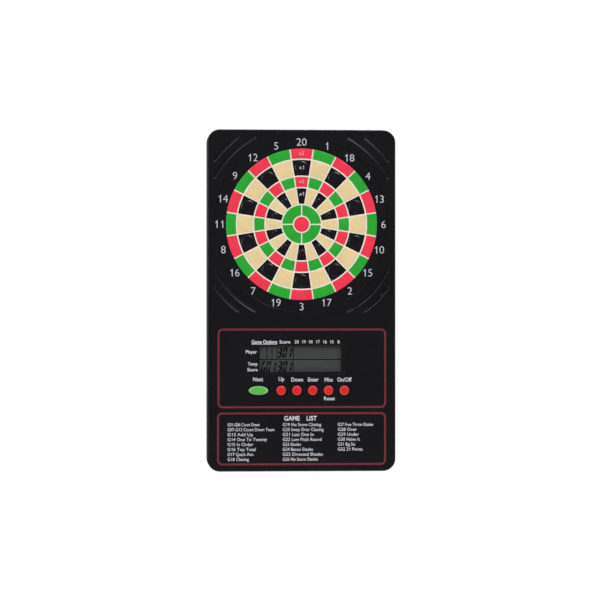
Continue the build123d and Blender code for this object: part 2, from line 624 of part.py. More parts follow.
# ---- Battery door ------------------------------------------------------------------------
with BuildPart() as battery_door:
    block((-DOOR_HALF_WIDTH, DOOR_HALF_WIDTH), (CASE_BOTTOM, DOOR_TOP), (0, DOOR_THICKNESS))
    for side in (-1, 1):
        block(sorted((side * DOOR_RIB_X[0], side * DOOR_RIB_X[1])), (CASE_BOTTOM, DOOR_RIB_TOP),
              (DOOR_THICKNESS, DOOR_TONGUE_DEPTHS[1]))
        block(sorted((side * DOOR_RIB_X[0], side * DOOR_TONGUE_X)), (CASE_BOTTOM, DOOR_RIB_TOP),
              DOOR_TONGUE_DEPTHS)
    block((-DOOR_RIB_X[0], DOOR_RIB_X[0]), (CASE_BOTTOM, CASE_BOTTOM + DOOR_LIP),
          (DOOR_THICKNESS, DOOR_TONGUE_DEPTHS[1]))
    back_face = battery_door.faces().sort_by(Axis.Y)[-1]
    fillet(back_face.edges().sort_by(Axis.Z)[0], radius=BACK_EDGE_ROUND)
    for groove in range(GRIP_GROOVES):
        centred_block(0, GRIP_TOP_Z - groove * GRIP_PITCH, GRIP_GROOVE[:2], (0, GRIP_GROOVE[2]),
                      mode=Mode.SUBTRACT)
    with BuildSketch(at_depth(0)):
        with BuildLine():
            Polyline((-ARROW_SIZE[0] / 2, ARROW_Z + ARROW_SIZE[1] / 2),
                     (ARROW_SIZE[0] / 2, ARROW_Z + ARROW_SIZE[1] / 2),
                     (0, ARROW_Z - ARROW_SIZE[1] / 2), close=True)
        make_face()
    extrude(amount=ARROW_DEPTH, mode=Mode.SUBTRACT)
finish(battery_door.part, "battery_door")


# ---- Cells, contacts and springs ---------------------------------------------------------
def nub_end(side):
    """X of the tip of a cell's nub, where it meets its contact dimple."""
    return side * (BAY_HALF_WIDTH - CONTACT_THICKNESS - CONTACT_DIMPLE)


def flat_end(side):
    """X of a cell's flat end, opposite a nub on this side."""
    return nub_end(side) - side * CELL_LENGTH


def bar_along_x(x_range, z, depth, radius):
    """Round bar along X, joined to the part being built."""
    with BuildSketch(Plane.YZ.offset(min(x_range))) as profile:
        with Locations((-depth, z)):
            Circle(radius)
    extrude(profile.sketch, amount=abs(x_range[1] - x_range[0]))


# The nub of each cell points to the right, left and right again.
CELL_SIDES = (1, -1, 1)

for number, (cell_side, cell_z) in enumerate(zip(CELL_SIDES, CELL_CENTRES), start=1):
    shoulder = nub_end(cell_side) - cell_side * CELL_NUB_LENGTH
    with BuildPart() as cell:
        bar_along_x((flat_end(cell_side), shoulder), cell_z, CELL_DEPTH, CELL_RADIUS)
        fillet(cell.edges().filter_by(GeomType.CIRCLE), radius=CELL_EDGE_ROUND)
        bar_along_x((shoulder, nub_end(cell_side)), cell_z, CELL_DEPTH, CELL_NUB_RADIUS)
    finish(cell.part, f"battery_{number}")

with BuildPart() as battery_contacts:
    half = CONTACT_SIZE / 2
    depths = (CELL_DEPTH - half, CELL_DEPTH + half)
    right = (BAY_HALF_WIDTH - CONTACT_THICKNESS, BAY_HALF_WIDTH)
    left = (-BAY_HALF_WIDTH, -BAY_HALF_WIDTH + CONTACT_THICKNESS)
    block(right, (CELL_CENTRES[1] - half, CELL_CENTRES[0] + half), depths)
    block(right, (CELL_CENTRES[2] - half, CELL_CENTRES[2] + half), depths)
    block(left, (CELL_CENTRES[0] - half, CELL_CENTRES[0] + half), depths)
    block(left, (CELL_CENTRES[2] - half, CELL_CENTRES[1] + half), depths)
    for tab, tab_z in ((right, CELL_CENTRES[2]), (left, CELL_CENTRES[0])):
        tab_zs = (tab_z - CONTACT_TAB_WIDTH / 2, tab_z + CONTACT_TAB_WIDTH / 2)
        block(tab, tab_zs, (CELL_DEPTH, CONTACT_TAB_END))
    for cell_side, cell_z in zip(CELL_SIDES, CELL_CENTRES):
        plate_face = cell_side * (BAY_HALF_WIDTH - CONTACT_THICKNESS)
        bar_along_x((plate_face, nub_end(cell_side)), cell_z, CELL_DEPTH, CONTACT_DIMPLE_RADIUS)
finish(battery_contacts.part, "battery_contacts")

with BuildPart() as battery_springs:
    for cell_side, cell_z in zip(CELL_SIDES, CELL_CENTRES):
        plate_face = -cell_side * (BAY_HALF_WIDTH - CONTACT_THICKNESS)
        cell_face = flat_end(cell_side)
        with BuildSketch(Plane.XY.offset(cell_z)) as sleeve:
            with BuildLine():
                Polyline((plate_face, -CELL_DEPTH - SPRING_RADII[0]),
                         (cell_face, -CELL_DEPTH - SPRING_RADII[1]),
                         (cell_face, -CELL_DEPTH - SPRING_RADII[1] + SPRING_WALL),
                         (plate_face, -CELL_DEPTH - SPRING_RADII[0] + SPRING_WALL), close=True)
            make_face()
        revolve(axis=Axis((0, -CELL_DEPTH, cell_z), (1, 0, 0)))
finish(battery_springs.part, "battery_springs")


# ---- Display -----------------------------------------------------------------------------
with BuildPart() as display_window:
    centred_block(WINDOW_X, WINDOW_Z, WINDOW_SIZE, (WINDOW_SEAT, WINDOW_SEAT + WINDOW_THICKNESS),
                  WINDOW_CORNER)
finish(display_window.part, "display_window")

with BuildPart() as lcd_glass:
    centred_block(DISPLAY_X, DISPLAY_Z, LCD_SIZE, LCD_DEPTHS)
finish(lcd_glass.part, "lcd_glass")

with BuildPart() as lcd_holder:
    centred_block(DISPLAY_X, DISPLAY_Z, LCD_HOLDER_SIZE, (BOARD_DEPTHS[1], LCD_DEPTHS[1]))
    centred_block(DISPLAY_X, DISPLAY_Z, (LCD_SIZE[0] + 2 * LCD_GAP, LCD_SIZE[1] + 2 * LCD_GAP), LCD_DEPTHS,
                  mode=Mode.SUBTRACT)
    centred_block(DISPLAY_X, DISPLAY_Z, LCD_HOLDER_WINDOW, (BOARD_DEPTHS[1], LCD_DEPTHS[0]),
                  mode=Mode.SUBTRACT)
    for side in (-1, 1):
        centred_block(DISPLAY_X, DISPLAY_Z + side * ZEBRA_OFFSET,
                      (ZEBRA_SIZE[0] + 2 * ZEBRA_GAP, ZEBRA_SIZE[1] + 2 * ZEBRA_GAP),
                      (BOARD_DEPTHS[1], LCD_DEPTHS[0]), mode=Mode.SUBTRACT)
finish(lcd_holder.part, "lcd_holder")

with BuildPart() as zebra_strips:
    for side in (-1, 1):
        centred_block(DISPLAY_X, DISPLAY_Z + side * ZEBRA_OFFSET, ZEBRA_SIZE,
                      (BOARD_DEPTHS[1], LCD_DEPTHS[0]))
finish(zebra_strips.part, "zebra_strips")


# ---- Main board --------------------------------------------------------------------------
with BuildPart() as main_board:
    block(BOARD_X, BOARD_Z, BOARD_DEPTHS, BOARD_CORNER)
    for hole_x, hole_z in BOARD_SCREW_POINTS:
        disk(hole_x, hole_z, BOARD_HOLE_RADIUS, BOARD_DEPTHS, Mode.SUBTRACT)
finish(main_board.part, "main_board")

with BuildPart() as board_screws:
    for screw_x, screw_z in BOARD_SCREW_POINTS:
        disk(screw_x, screw_z, BOARD_HEAD_RADIUS, (BOARD_DEPTHS[0] - BOARD_HEAD_HEIGHT, BOARD_DEPTHS[0]))
        disk(screw_x, screw_z, BOARD_SCREW_RADIUS, (BOARD_DEPTHS[0], BOARD_SCREW_TIP))
        for slot_size in (BOARD_CROSS, BOARD_CROSS[::-1]):
            centred_block(screw_x, screw_z, slot_size,
                          (BOARD_DEPTHS[0] - BOARD_HEAD_HEIGHT, BOARD_DEPTHS[0] - BOARD_HEAD_HEIGHT / 2),
                          mode=Mode.SUBTRACT)
finish(board_screws.part, "board_screws")

with BuildPart() as processor_cover:
    disk(PROCESSOR_X, PROCESSOR_Z, PROCESSOR_RADIUS, (BOARD_DEPTHS[0] - PROCESSOR_HEIGHT, BOARD_DEPTHS[0]))
    fillet(processor_cover.faces().sort_by(Axis.Y)[-1].edges(), radius=PROCESSOR_EDGE_ROUND)
finish(processor_cover.part, "processor_cover")

with BuildPart() as board_components:
    for part_x, part_z in CAPACITORS:
        disk(part_x, part_z, CAPACITOR_RADIUS, (CAPACITOR_BACK, BOARD_DEPTHS[0]))
    for chip in range(CHIP_COUNT):
        centred_block(CHIP_ROW_X + chip * CHIP_PITCH, CHIP_ROW_Z, CHIP_SIZE,
                      (BOARD_DEPTHS[0] - CHIP_HEIGHT, BOARD_DEPTHS[0]))
    centred_block(*CRYSTAL, CRYSTAL_SIZE, (BOARD_DEPTHS[0] - CRYSTAL_HEIGHT, BOARD_DEPTHS[0]), CRYSTAL_CORNER)
finish(board_components.part, "board_components")


# ---- Keys, their pills and the mat -------------------------------------------------------
def pill(name, x):
    """Conductive pill that closes the key's contact on the board."""
    with BuildPart() as disc:
        disk(x, KEY_Z, DOME_POST_RADIUS, PILL_DEPTHS)
    finish(disc.part, name.replace("key", "pill"))


for key_name, key_x in ROUND_KEYS.items():
    with BuildPart() as round_key:
        disk(key_x, KEY_Z, ROUND_KEY_RADIUS + KEY_FLANGE_WIDTH, KEY_FLANGE_DEPTHS)
        disk(key_x, KEY_Z, ROUND_KEY_RADIUS, (KEY_FLANGE_DEPTHS[0], KEY_TOP))
        fillet(round_key.faces().sort_by(Axis.Y)[0].edges(), radius=KEY_EDGE_ROUND)
    finish(round_key.part, key_name)
    pill(key_name, key_x)

with BuildPart() as key_next:
    with BuildSketch(at_depth(KEY_FLANGE_DEPTHS[0])) as oval_flange:
        with Locations((OVAL_KEY_X, KEY_Z)):
            Ellipse(OVAL_KEY_AXES[0] + KEY_FLANGE_WIDTH, OVAL_KEY_AXES[1] + KEY_FLANGE_WIDTH)
    extrude(amount=KEY_FLANGE_DEPTHS[1] - KEY_FLANGE_DEPTHS[0])
    with BuildSketch(at_depth(KEY_FLANGE_DEPTHS[0])) as oval_cap:
        with Locations((OVAL_KEY_X, KEY_Z)):
            Ellipse(*OVAL_KEY_AXES)
    extrude(amount=KEY_TOP - KEY_FLANGE_DEPTHS[0])
    fillet(key_next.faces().sort_by(Axis.Y)[0].edges(), radius=KEY_EDGE_ROUND)
finish(key_next.part, "key_next")
pill("key_next", OVAL_KEY_X)

with BuildPart() as keypad_mat:
    block(MAT_X, MAT_Z, (BOARD_DEPTHS[1], BOARD_DEPTHS[1] + MAT_THICKNESS), MAT_CORNER)
    for key_x in (OVAL_KEY_X, *ROUND_KEYS.values()):
        turned(key_x, KEY_Z, ((0, BOARD_DEPTHS[1]), (DOME_BASE_RADIUS, BOARD_DEPTHS[1]),
                              (DOME_BASE_RADIUS, BOARD_DEPTHS[1] + MAT_THICKNESS),
                              (DOME_TOP_RADIUS, DOME_TOP), (0, DOME_TOP)))
        turned(key_x, KEY_Z, ((0, BOARD_DEPTHS[1]), (DOME_CAVITY_BASE, BOARD_DEPTHS[1]),
                              (DOME_CAVITY_TOP, DOME_CAVITY_DEPTH), (0, DOME_CAVITY_DEPTH)), Mode.SUBTRACT)
        disk(key_x, KEY_Z, DOME_POST_RADIUS, (PILL_DEPTHS[1], DOME_TOP))
finish(keypad_mat.part, "keypad_mat")


# ---- Speaker -----------------------------------------------------------------------------
with BuildPart() as speaker_frame:
    flange_back = SPEAKER_FRONT - SPEAKER_FLANGE
    flange_inner = CONE_EDGE_RADIUS + CONE_EDGE_GAP
    turned(SPEAKER_X, SPEAKER_Z,
           ((MAGNET_RADIUS - BASKET_NECK, SPEAKER_BASKET_BACK),
            (MAGNET_RADIUS + BASKET_NECK, SPEAKER_BASKET_BACK),
            (SPEAKER_RADIUS, flange_back), (SPEAKER_RADIUS, SPEAKER_FRONT), (flange_inner, SPEAKER_FRONT),
            (flange_inner, flange_back), (MAGNET_RADIUS, SPEAKER_BASKET_BACK + BASKET_WALL),
            (MAGNET_RADIUS - BASKET_NECK, SPEAKER_BASKET_BACK + BASKET_WALL)))
    block(TERMINAL_X, TERMINAL_Z, TERMINAL_DEPTHS)
finish(speaker_frame.part, "speaker_frame")

with BuildPart() as speaker_cone:
    turned(SPEAKER_X, SPEAKER_Z,
           ((0, CONE_WELL_DEPTH + DUST_CAP_RISE), (CONE_WELL_RADIUS, CONE_WELL_DEPTH),
            (CONE_EDGE_RADIUS, CONE_EDGE_DEPTH), (CONE_EDGE_RADIUS, CONE_EDGE_DEPTH + CONE_THICKNESS),
            (CONE_WELL_RADIUS, CONE_WELL_DEPTH + CONE_THICKNESS),
            (0, CONE_WELL_DEPTH + DUST_CAP_RISE + CONE_THICKNESS)))
finish(speaker_cone.part, "speaker_cone")

with BuildPart() as speaker_magnet:
    disk(SPEAKER_X, SPEAKER_Z, MAGNET_RADIUS, (MAGNET_BACK, SPEAKER_BASKET_BACK))
    fillet(speaker_magnet.faces().sort_by(Axis.Y)[-1].edges(), radius=MAGNET_EDGE_ROUND)
finish(speaker_magnet.part, "speaker_magnet")


# ---- Housing screws ----------------------------------------------------------------------
with BuildPart() as housing_screws:
    head_face = COUNTERBORE_DEPTH - SCREW_HEAD_HEIGHT
    for side in (-1, 1):
        for screw_z in SCREW_Z:
            screw_x = side * SCREW_X
            turned(screw_x, screw_z,
                   ((0, head_face), (SCREW_HEAD_RADIUS - SCREW_HEAD_ROUND, head_face),
                    (SCREW_HEAD_RADIUS, head_face + SCREW_HEAD_ROUND), (SCREW_HEAD_RADIUS, COUNTERBORE_DEPTH),
                    (SCREW_RADIUS, COUNTERBORE_DEPTH), (SCREW_RADIUS, SCREW_TIP - SCREW_POINT_LENGTH),
                    (SCREW_POINT_RADIUS, SCREW_TIP), (0, SCREW_TIP)))
            for cross in (SCREW_CROSS, SCREW_CROSS[::-1]):
                centred_block(screw_x, screw_z, cross, (head_face, head_face + SCREW_CROSS_DEPTH),
                              mode=Mode.SUBTRACT)
finish(housing_screws.part, "housing_screws")


# ---- Wires -------------------------------------------------------------------------------
with BuildPart() as speaker_wires:
    wire("speaker wire, left", SPEAKER_WIRE_LEFT)
    wire("speaker wire, right", SPEAKER_WIRE_RIGHT)
finish(speaker_wires.part, "speaker_wires")

with BuildPart() as battery_wire_red:
    wire("battery wire, red", RED_WIRE)
finish(battery_wire_red.part, "battery_wire_red")

with BuildPart() as battery_wire_black:
    wire("battery wire, black", BLACK_WIRE)
finish(battery_wire_black.part, "battery_wire_black")
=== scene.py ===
from math import asin, cos, hypot, pi, radians, sin, sqrt, tan

import bmesh
import bpy
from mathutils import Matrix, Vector


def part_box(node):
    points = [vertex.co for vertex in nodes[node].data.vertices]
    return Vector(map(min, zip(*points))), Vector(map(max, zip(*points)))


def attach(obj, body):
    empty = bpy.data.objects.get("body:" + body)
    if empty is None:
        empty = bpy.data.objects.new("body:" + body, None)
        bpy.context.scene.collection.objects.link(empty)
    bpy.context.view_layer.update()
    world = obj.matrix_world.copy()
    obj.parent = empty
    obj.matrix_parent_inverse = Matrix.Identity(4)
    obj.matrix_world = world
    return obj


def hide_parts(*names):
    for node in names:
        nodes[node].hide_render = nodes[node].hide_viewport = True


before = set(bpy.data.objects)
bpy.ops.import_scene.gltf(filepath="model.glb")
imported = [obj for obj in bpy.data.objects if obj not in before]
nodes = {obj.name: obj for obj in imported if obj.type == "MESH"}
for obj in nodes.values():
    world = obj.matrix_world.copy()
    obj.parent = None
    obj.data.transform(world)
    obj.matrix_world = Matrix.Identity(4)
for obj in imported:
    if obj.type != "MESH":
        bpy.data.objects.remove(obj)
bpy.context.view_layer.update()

MM = 0.001

# ---- Places read from the frame ------------------------------------------------------------
CASE_LOW, CASE_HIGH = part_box("front_shell")
FRONT_Y = CASE_LOW.y                       # front face of the casing
FILM_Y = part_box("overlay_sheet")[0].y      # printed face of the round film
LINE_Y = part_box("overlay_lines")[0].y      # face of the raised white lines
PAD_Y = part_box("pads_red")[0].y            # top of the raised pads
LCD_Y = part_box("lcd_glass")[0].y           # face of the display glass
INK = 0.03 * MM                            # thickness of a printed layer

# ---- The round board, in millimetres -------------------------------------------------------
SECTORS = 20
SPOKE_WIDTH = 1.15
BULL_RADIUS = 7.3
OUTER_BULL = (8.5, 18.6)
BULL_CROSS_WIDTH = 1.0
INNER_SINGLE = (19.8, 34.85)
TREBLE = (36.05, 45.9)
OUTER_SINGLE = (47.1, 62.25)
DOUBLE = (63.5, 73.1)
SECTOR_NUMBERS = (20, 1, 18, 4, 13, 6, 10, 15, 2, 17, 3, 19, 7, 16, 8, 11, 14, 9, 12, 5)
NUMBER_RADIUS = 79.5
NUMBER_HEIGHT = 7.2


# ---- Materials -----------------------------------------------------------------------------
def srgb(red, green, blue):
    """Linear colour from 0-255 screen values."""
    def linear(value):
        value /= 255
        return value / 12.92 if value <= 0.04045 else ((value + 0.055) / 1.055) ** 2.4
    return (linear(red), linear(green), linear(blue), 1.0)


def new_material(name):
    """Empty node material: its node tree, its shader and its object coordinates."""
    material = bpy.data.materials.new(name)
    material.use_nodes = True
    tree = material.node_tree
    shader = tree.nodes["Principled BSDF"]
    coordinates = tree.nodes.new("ShaderNodeTexCoord")
    return material, tree, shader, coordinates.outputs["Object"]


def noise(tree, vector, scale, detail=3.0, rough=0.5):
    """Noise texture, with its scale in cycles per metre."""
    node = tree.nodes.new("ShaderNodeTexNoise")
    node.inputs["Scale"].default_value = scale
    node.inputs["Detail"].default_value = detail
    node.inputs["Roughness"].default_value = rough
    tree.links.new(vector, node.inputs["Vector"])
    return node.outputs["Fac"]


def ramp(tree, value, low, high, start=0.35, end=0.65):
    """Colour between two stops of a value."""
    node = tree.nodes.new("ShaderNodeValToRGB")
    node.color_ramp.elements[0].position = start
    node.color_ramp.elements[0].color = low
    node.color_ramp.elements[1].position = end
    node.color_ramp.elements[1].color = high
    tree.links.new(value, node.inputs["Fac"])
    return node.outputs["Color"]


def spread(tree, value, low, high):
    """A value mapped from 0..1 to low..high."""
    node = tree.nodes.new("ShaderNodeMapRange")
    node.inputs["To Min"].default_value = low
    node.inputs["To Max"].default_value = high
    tree.links.new(value, node.inputs["Value"])
    return node.outputs["Result"]


def bump(tree, value, distance, strength=1.0, below=None):
    """Surface relief this many metres deep, on top of another bump."""
    node = tree.nodes.new("ShaderNodeBump")
    node.inputs["Distance"].default_value = distance
    node.inputs["Strength"].default_value = strength
    tree.links.new(value, node.inputs["Height"])
    if below is not None:
        tree.links.new(below, node.inputs["Normal"])
    return node.outputs["Normal"]


def shade(colour, factor):
    """A colour made lighter or darker."""
    return tuple(min(1.0, channel * factor) for channel in colour[:3]) + (1.0,)


def surface(name, colour, roughness=(0.4, 0.5), variation=0.06, cloud=60, grain=2500, grain_depth=0.004,
            cloud_depth=0.0, metallic=0.0, coat=0.0, specular=0.5, alpha=1.0):
    """A finish with cloudy colour and roughness variation and a fine grain. Depths are in millimetres."""
    material, tree, shader, vector = new_material(name)
    clouds = noise(tree, vector, cloud)
    grains = noise(tree, vector, grain, detail=2.0)
    tree.links.new(ramp(tree, clouds, shade(colour, 1 - variation), shade(colour, 1 + variation)),
                   shader.inputs["Base Color"])
    tree.links.new(spread(tree, grains, *roughness), shader.inputs["Roughness"])
    normal = bump(tree, grains, grain_depth * MM)
    if cloud_depth > 0:
        normal = bump(tree, clouds, cloud_depth * MM, below=normal)
    tree.links.new(normal, shader.inputs["Normal"])
    shader.inputs["Metallic"].default_value = metallic
    shader.inputs["Coat Weight"].default_value = coat
    shader.inputs["Specular IOR Level"].default_value = specular
    shader.inputs["Alpha"].default_value = alpha
    return material


def mask(tree, value, start, end):
    """0 up to one value, 1 from another on."""
    node = tree.nodes.new("ShaderNodeMapRange")
    node.inputs["From Min"].default_value = start
    node.inputs["From Max"].default_value = end
    tree.links.new(value, node.inputs["Value"])
    return node.outputs["Result"]


def tint(tree, shader, amount, colour):
    """Turn a finish towards a colour where a mask says."""
    mix = tree.nodes.new("ShaderNodeMixRGB")
    mix.inputs["Color2"].default_value = colour
    tree.links.new(amount, mix.inputs["Fac"])
    tree.links.new(shader.inputs["Base Color"].links[0].from_socket, mix.inputs["Color1"])
    tree.links.new(mix.outputs["Color"], shader.inputs["Base Color"])


def pale_edge(material, colour, start, full):
    """Painted highlight: let a key's colour go pale towards its edge, between two shares of its width,
    where the rounded edge would catch the light.
    """
    tree = material.node_tree
    coordinates = tree.nodes.new("ShaderNodeTexCoord")
    shift = tree.nodes.new("ShaderNodeVectorMath")
    shift.operation = "SUBTRACT"
    shift.inputs[1].default_value = (0.5, 0.5, 0.5)
    tree.links.new(coordinates.outputs["Generated"], shift.inputs[0])
    flat = tree.nodes.new("ShaderNodeVectorMath")
    flat.operation = "MULTIPLY"
    flat.inputs[1].default_value = (2, 0, 2)
    tree.links.new(shift.outputs["Vector"], flat.inputs[0])
    length = tree.nodes.new("ShaderNodeVectorMath")
    length.operation = "LENGTH"
    tree.links.new(flat.outputs["Vector"], length.inputs[0])
    tint(tree, tree.nodes["Principled BSDF"], mask(tree, length.outputs["Value"], start, full), colour)


CASE_BLACK = surface("case_black", srgb(13, 12, 16), (0.27, 0.35), 0.14, cloud=25, grain=2200,
                     grain_depth=0.012, specular=0.32)
FILM_BLACK = surface("film_black", srgb(15, 14, 18), (0.26, 0.34), 0.12, cloud=40, grain=3000,
                     grain_depth=0.006, specular=0.32)
PAD_BLACK = surface("pad_black", srgb(15, 14, 18), (0.20, 0.27), 0.12, cloud=60, grain=3000,
                    grain_depth=0.004, specular=0.46)
PRINT_WHITE = surface("print_white", srgb(228, 222, 204), (0.42, 0.52), 0.03, cloud=80, grain=3000)
PRINT_RED = surface("print_red", srgb(231, 46, 72), (0.36, 0.46), 0.04, cloud=70, grain=3000,
                    grain_depth=0.006)
PRINT_GREEN = surface("print_green", srgb(28, 158, 40), (0.36, 0.46), 0.05, cloud=70, grain=3000,
                      grain_depth=0.006)
PRINT_CREAM = surface("print_cream", srgb(222, 198, 148), (0.38, 0.48), 0.04, cloud=70, grain=3000,
                      grain_depth=0.006)
INK_GREY = surface("ink_grey", srgb(188, 190, 196), (0.45, 0.55), 0.05, cloud=300, grain=4000)
INK_WHITE = surface("ink_white", srgb(207, 208, 213), (0.45, 0.55), 0.05, cloud=300, grain=4000)
INK_PINK = surface("ink_pink", srgb(248, 164, 174), (0.45, 0.55), 0.05, cloud=300, grain=4000)
INK_RED = surface("ink_red", srgb(102, 25, 37), (0.42, 0.55), 0.10, cloud=200, grain=4000)
KEY_RED = surface("key_red", srgb(210, 22, 30), (0.30, 0.40), 0.05, cloud=150, grain=2500, coat=0.05)
KEY_GREEN = surface("key_green", srgb(84, 172, 68), (0.30, 0.40), 0.05, cloud=150, grain=2500, coat=0.05)
# Painted highlight: each key's colour turns paler towards its rim, standing in for light caught by the
# rounded edge.
pale_edge(KEY_RED, srgb(196, 74, 84), 0.55, 0.80)
pale_edge(KEY_GREEN, srgb(150, 196, 140), 0.60, 0.90)
STEEL = surface("screw_steel", srgb(168, 166, 160), (0.28, 0.42), 0.10, cloud=700, grain=6000, metallic=1.0)
BLACK_STEEL = surface("speaker_steel", srgb(14, 14, 15), (0.5, 0.65), 0.10, cloud=300, grain=5000,
                      specular=0.2)
NICKEL = surface("contact_nickel", srgb(196, 192, 182), (0.22, 0.34), 0.08, cloud=500, grain=6000,
                 metallic=1.0)
HOLDER = surface("holder_plastic", srgb(206, 204, 196), (0.45, 0.6), 0.05)
SILICONE = surface("silicone", srgb(150, 150, 146), (0.55, 0.7), 0.06, cloud=120)
CARBON = surface("carbon_rubber", srgb(30, 30, 30), (0.6, 0.75), 0.08, cloud=400)
BOARD = surface("board_green", srgb(28, 98, 52), (0.3, 0.42), 0.10, cloud=180)
EPOXY = surface("epoxy_black", srgb(18, 18, 18), (0.18, 0.3), 0.10, cloud=300, cloud_depth=0.05)
COMPONENT = surface("component_dark", srgb(38, 38, 46), (0.3, 0.45), 0.10, cloud=400)
CLEAR_FILM = surface("clear_film", srgb(206, 210, 206), (0.2, 0.3), 0.03)
CONE_PAPER = surface("cone_paper", srgb(13, 13, 14), (0.7, 0.85), 0.12, cloud=700, grain=5000,
                     grain_depth=0.03, specular=0.15)
MAGNET = surface("magnet_zinc", srgb(140, 142, 146), (0.3, 0.45), 0.10, cloud=300, metallic=1.0)
WIRE_BLACK = surface("wire_black", srgb(26, 26, 27), (0.35, 0.5), 0.08, cloud=500)
WIRE_RED = surface("wire_red", srgb(190, 28, 26), (0.35, 0.5), 0.06, cloud=500)
SLEEVE = surface("cell_sleeve", srgb(24, 58, 104), (0.18, 0.28), 0.06, cloud=200, grain=4000, coat=0.4)
SLEEVE_BAND = surface("cell_band", srgb(206, 208, 210), (0.2, 0.3), 0.05, cloud=200, grain=4000, coat=0.4)
LCD_GREY = surface("lcd_grey", srgb(122, 127, 125), (0.3, 0.4), 0.05, cloud=40, grain=6000, specular=0.2)
LCD_INK = surface("lcd_ink", srgb(4, 5, 4), (0.5, 0.6), 0.06, cloud=600, specular=0.05)
WINDOW = surface("window_tint", srgb(16, 18, 18), (0.08, 0.14), 0.05, cloud=30, grain=900,
                 grain_depth=0.001, specular=0.25, alpha=0.30)

CAD_FINISH = {
    "front_shell": CASE_BLACK, "rear_shell": CASE_BLACK, "battery_door": CASE_BLACK,
    "overlay_sheet": FILM_BLACK, "overlay_lines": PRINT_WHITE,
    "display_window": WINDOW, "lcd_glass": LCD_GREY, "lcd_holder": HOLDER, "zebra_strips": CARBON,
    "keypad_mat": SILICONE, "tail_connector": HOLDER,
    "main_board": BOARD, "processor_cover": EPOXY, "board_components": COMPONENT,
    "board_screws": STEEL, "housing_screws": STEEL,
    "speaker_frame": BLACK_STEEL, "speaker_cone": CONE_PAPER, "speaker_magnet": MAGNET,
    "speaker_wires": WIRE_BLACK, "battery_wire_red": WIRE_RED, "battery_wire_black": WIRE_BLACK,
    "battery_contacts": NICKEL,
    "upper_circuit_film": CLEAR_FILM, "spacer_film": CLEAR_FILM, "lower_circuit_film": CLEAR_FILM,
    "adhesive_sheet": CLEAR_FILM, "membrane_tail": CLEAR_FILM,
}
KEY_NAMES = ("next", "up", "down", "enter", "miss", "power")
for key in KEY_NAMES:
    CAD_FINISH["pill_" + key] = CARBON


def paint(piece, material):
    """Give a piece one material all over."""
    piece.data.materials.clear()
    piece.data.materials.append(material)


def smooth(piece, angle=35):
    """Smooth shading that keeps edges sharper than this many degrees."""
    piece.data.shade_smooth()
    piece.data.set_sharp_from_angle(angle=radians(angle))


for node_name, finish in CAD_FINISH.items():
    paint(nodes[node_name], finish)


# ---- Mesh helpers --------------------------------------------------------------------------
def make_piece(name, mesh_builder, material, body, replaced=()):
    """Turn a bmesh into a piece that rides on a body."""
    mesh = bpy.data.meshes.new(name)
    mesh_builder.to_mesh(mesh)
    mesh_builder.free()
    piece = bpy.data.objects.new(name, mesh)
    bpy.context.scene.collection.objects.link(piece)
    mesh.materials.append(material)
    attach(piece, body)
    if replaced:
        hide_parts(*replaced)
    return piece


def add_loop(bm, points):
    """Closed or open row of vertices from (x, y, z) points in metres."""
    return [bm.verts.new(point) for point in points]


def circle(bm, count, point_at):
    """Closed row of vertices, each placed by a function of its angle's cosine and sine."""
    angles = [2 * pi * i / count for i in range(count)]
    return add_loop(bm, [point_at(cos(angle), sin(angle)) for angle in angles])


def bridge(bm, first, second, closed=True):
    """Quads between two rows of the same length."""
    count = len(first)
    last = count if closed else count - 1
    for i in range(last):
        j = (i + 1) % count
        bm.faces.new((first[i], first[j], second[j], second[i]))


# ---- Raised pads of the round board --------------------------------------------------------
EDGE_RISE = 0.55        # width of a pad's rounded edge
DOME_RELIEF = 0.16      # height of the round button formed in each pad
BLACK_RELIEF = 0.38     # the same on the black pads
BUTTON_SLOPE = 1.1      # width of the slope around a button
GRID = 27               # least number of rows of points across a pad
GRID_PITCH = 0.4        # distance between rows on the larger pads
EASE_START = 0.12       # share of the half turn left out at each end of the row spacing
BULL_INSETS = (0, 0.02, 0.045, 0.08, 0.2, 0.35, 0.45, 0.55, 0.7, 0.85)
BULL_AROUND = 64
BULL_BUTTON = 0.55      # the bull's button as a share of its radius
QUADRANT_BUTTON = 3.4   # radii of the buttons
TREBLE_BUTTON = 3.4
DOUBLE_BUTTON = 3.6
INNER_BUTTON = 2.4
OUTER_BUTTON = 6.0


def eased(count):
    """Steps from 0 to 1, closer together near both ends."""
    shares = [EASE_START + (1 - 2 * EASE_START) * i / (count - 1) for i in range(count)]
    return [0.5 - 0.5 * cos(pi * share) for share in shares]


def rescaled(steps):
    """Steps stretched to run exactly from 0 to 1."""
    low = steps[0]
    high = steps[-1]
    return [(step - low) / (high - low) for step in steps]


def edge_profile(distance):
    """Share of a pad's height at this distance from its edge: a quarter-round rise."""
    t = min(1.0, max(0.0, distance / EDGE_RISE))
    return sqrt(1 - (1 - t) ** 2)


def button_profile(distance, radius):
    """Share of the button's relief at this distance from its middle: a soft round step."""
    t = min(1.0, max(0.0, (radius + BUTTON_SLOPE / 2 - distance) / BUTTON_SLOPE))
    return t * t * (3 - 2 * t)


def pad_depth(edge_distance, middle_distance, button_radius, relief=DOME_RELIEF):
    """Y of a pad's surface."""
    base = FILM_Y
    top = PAD_Y + relief * MM
    height = edge_profile(edge_distance) * (base - top)
    return base - height - relief * MM * button_profile(middle_distance, button_radius)


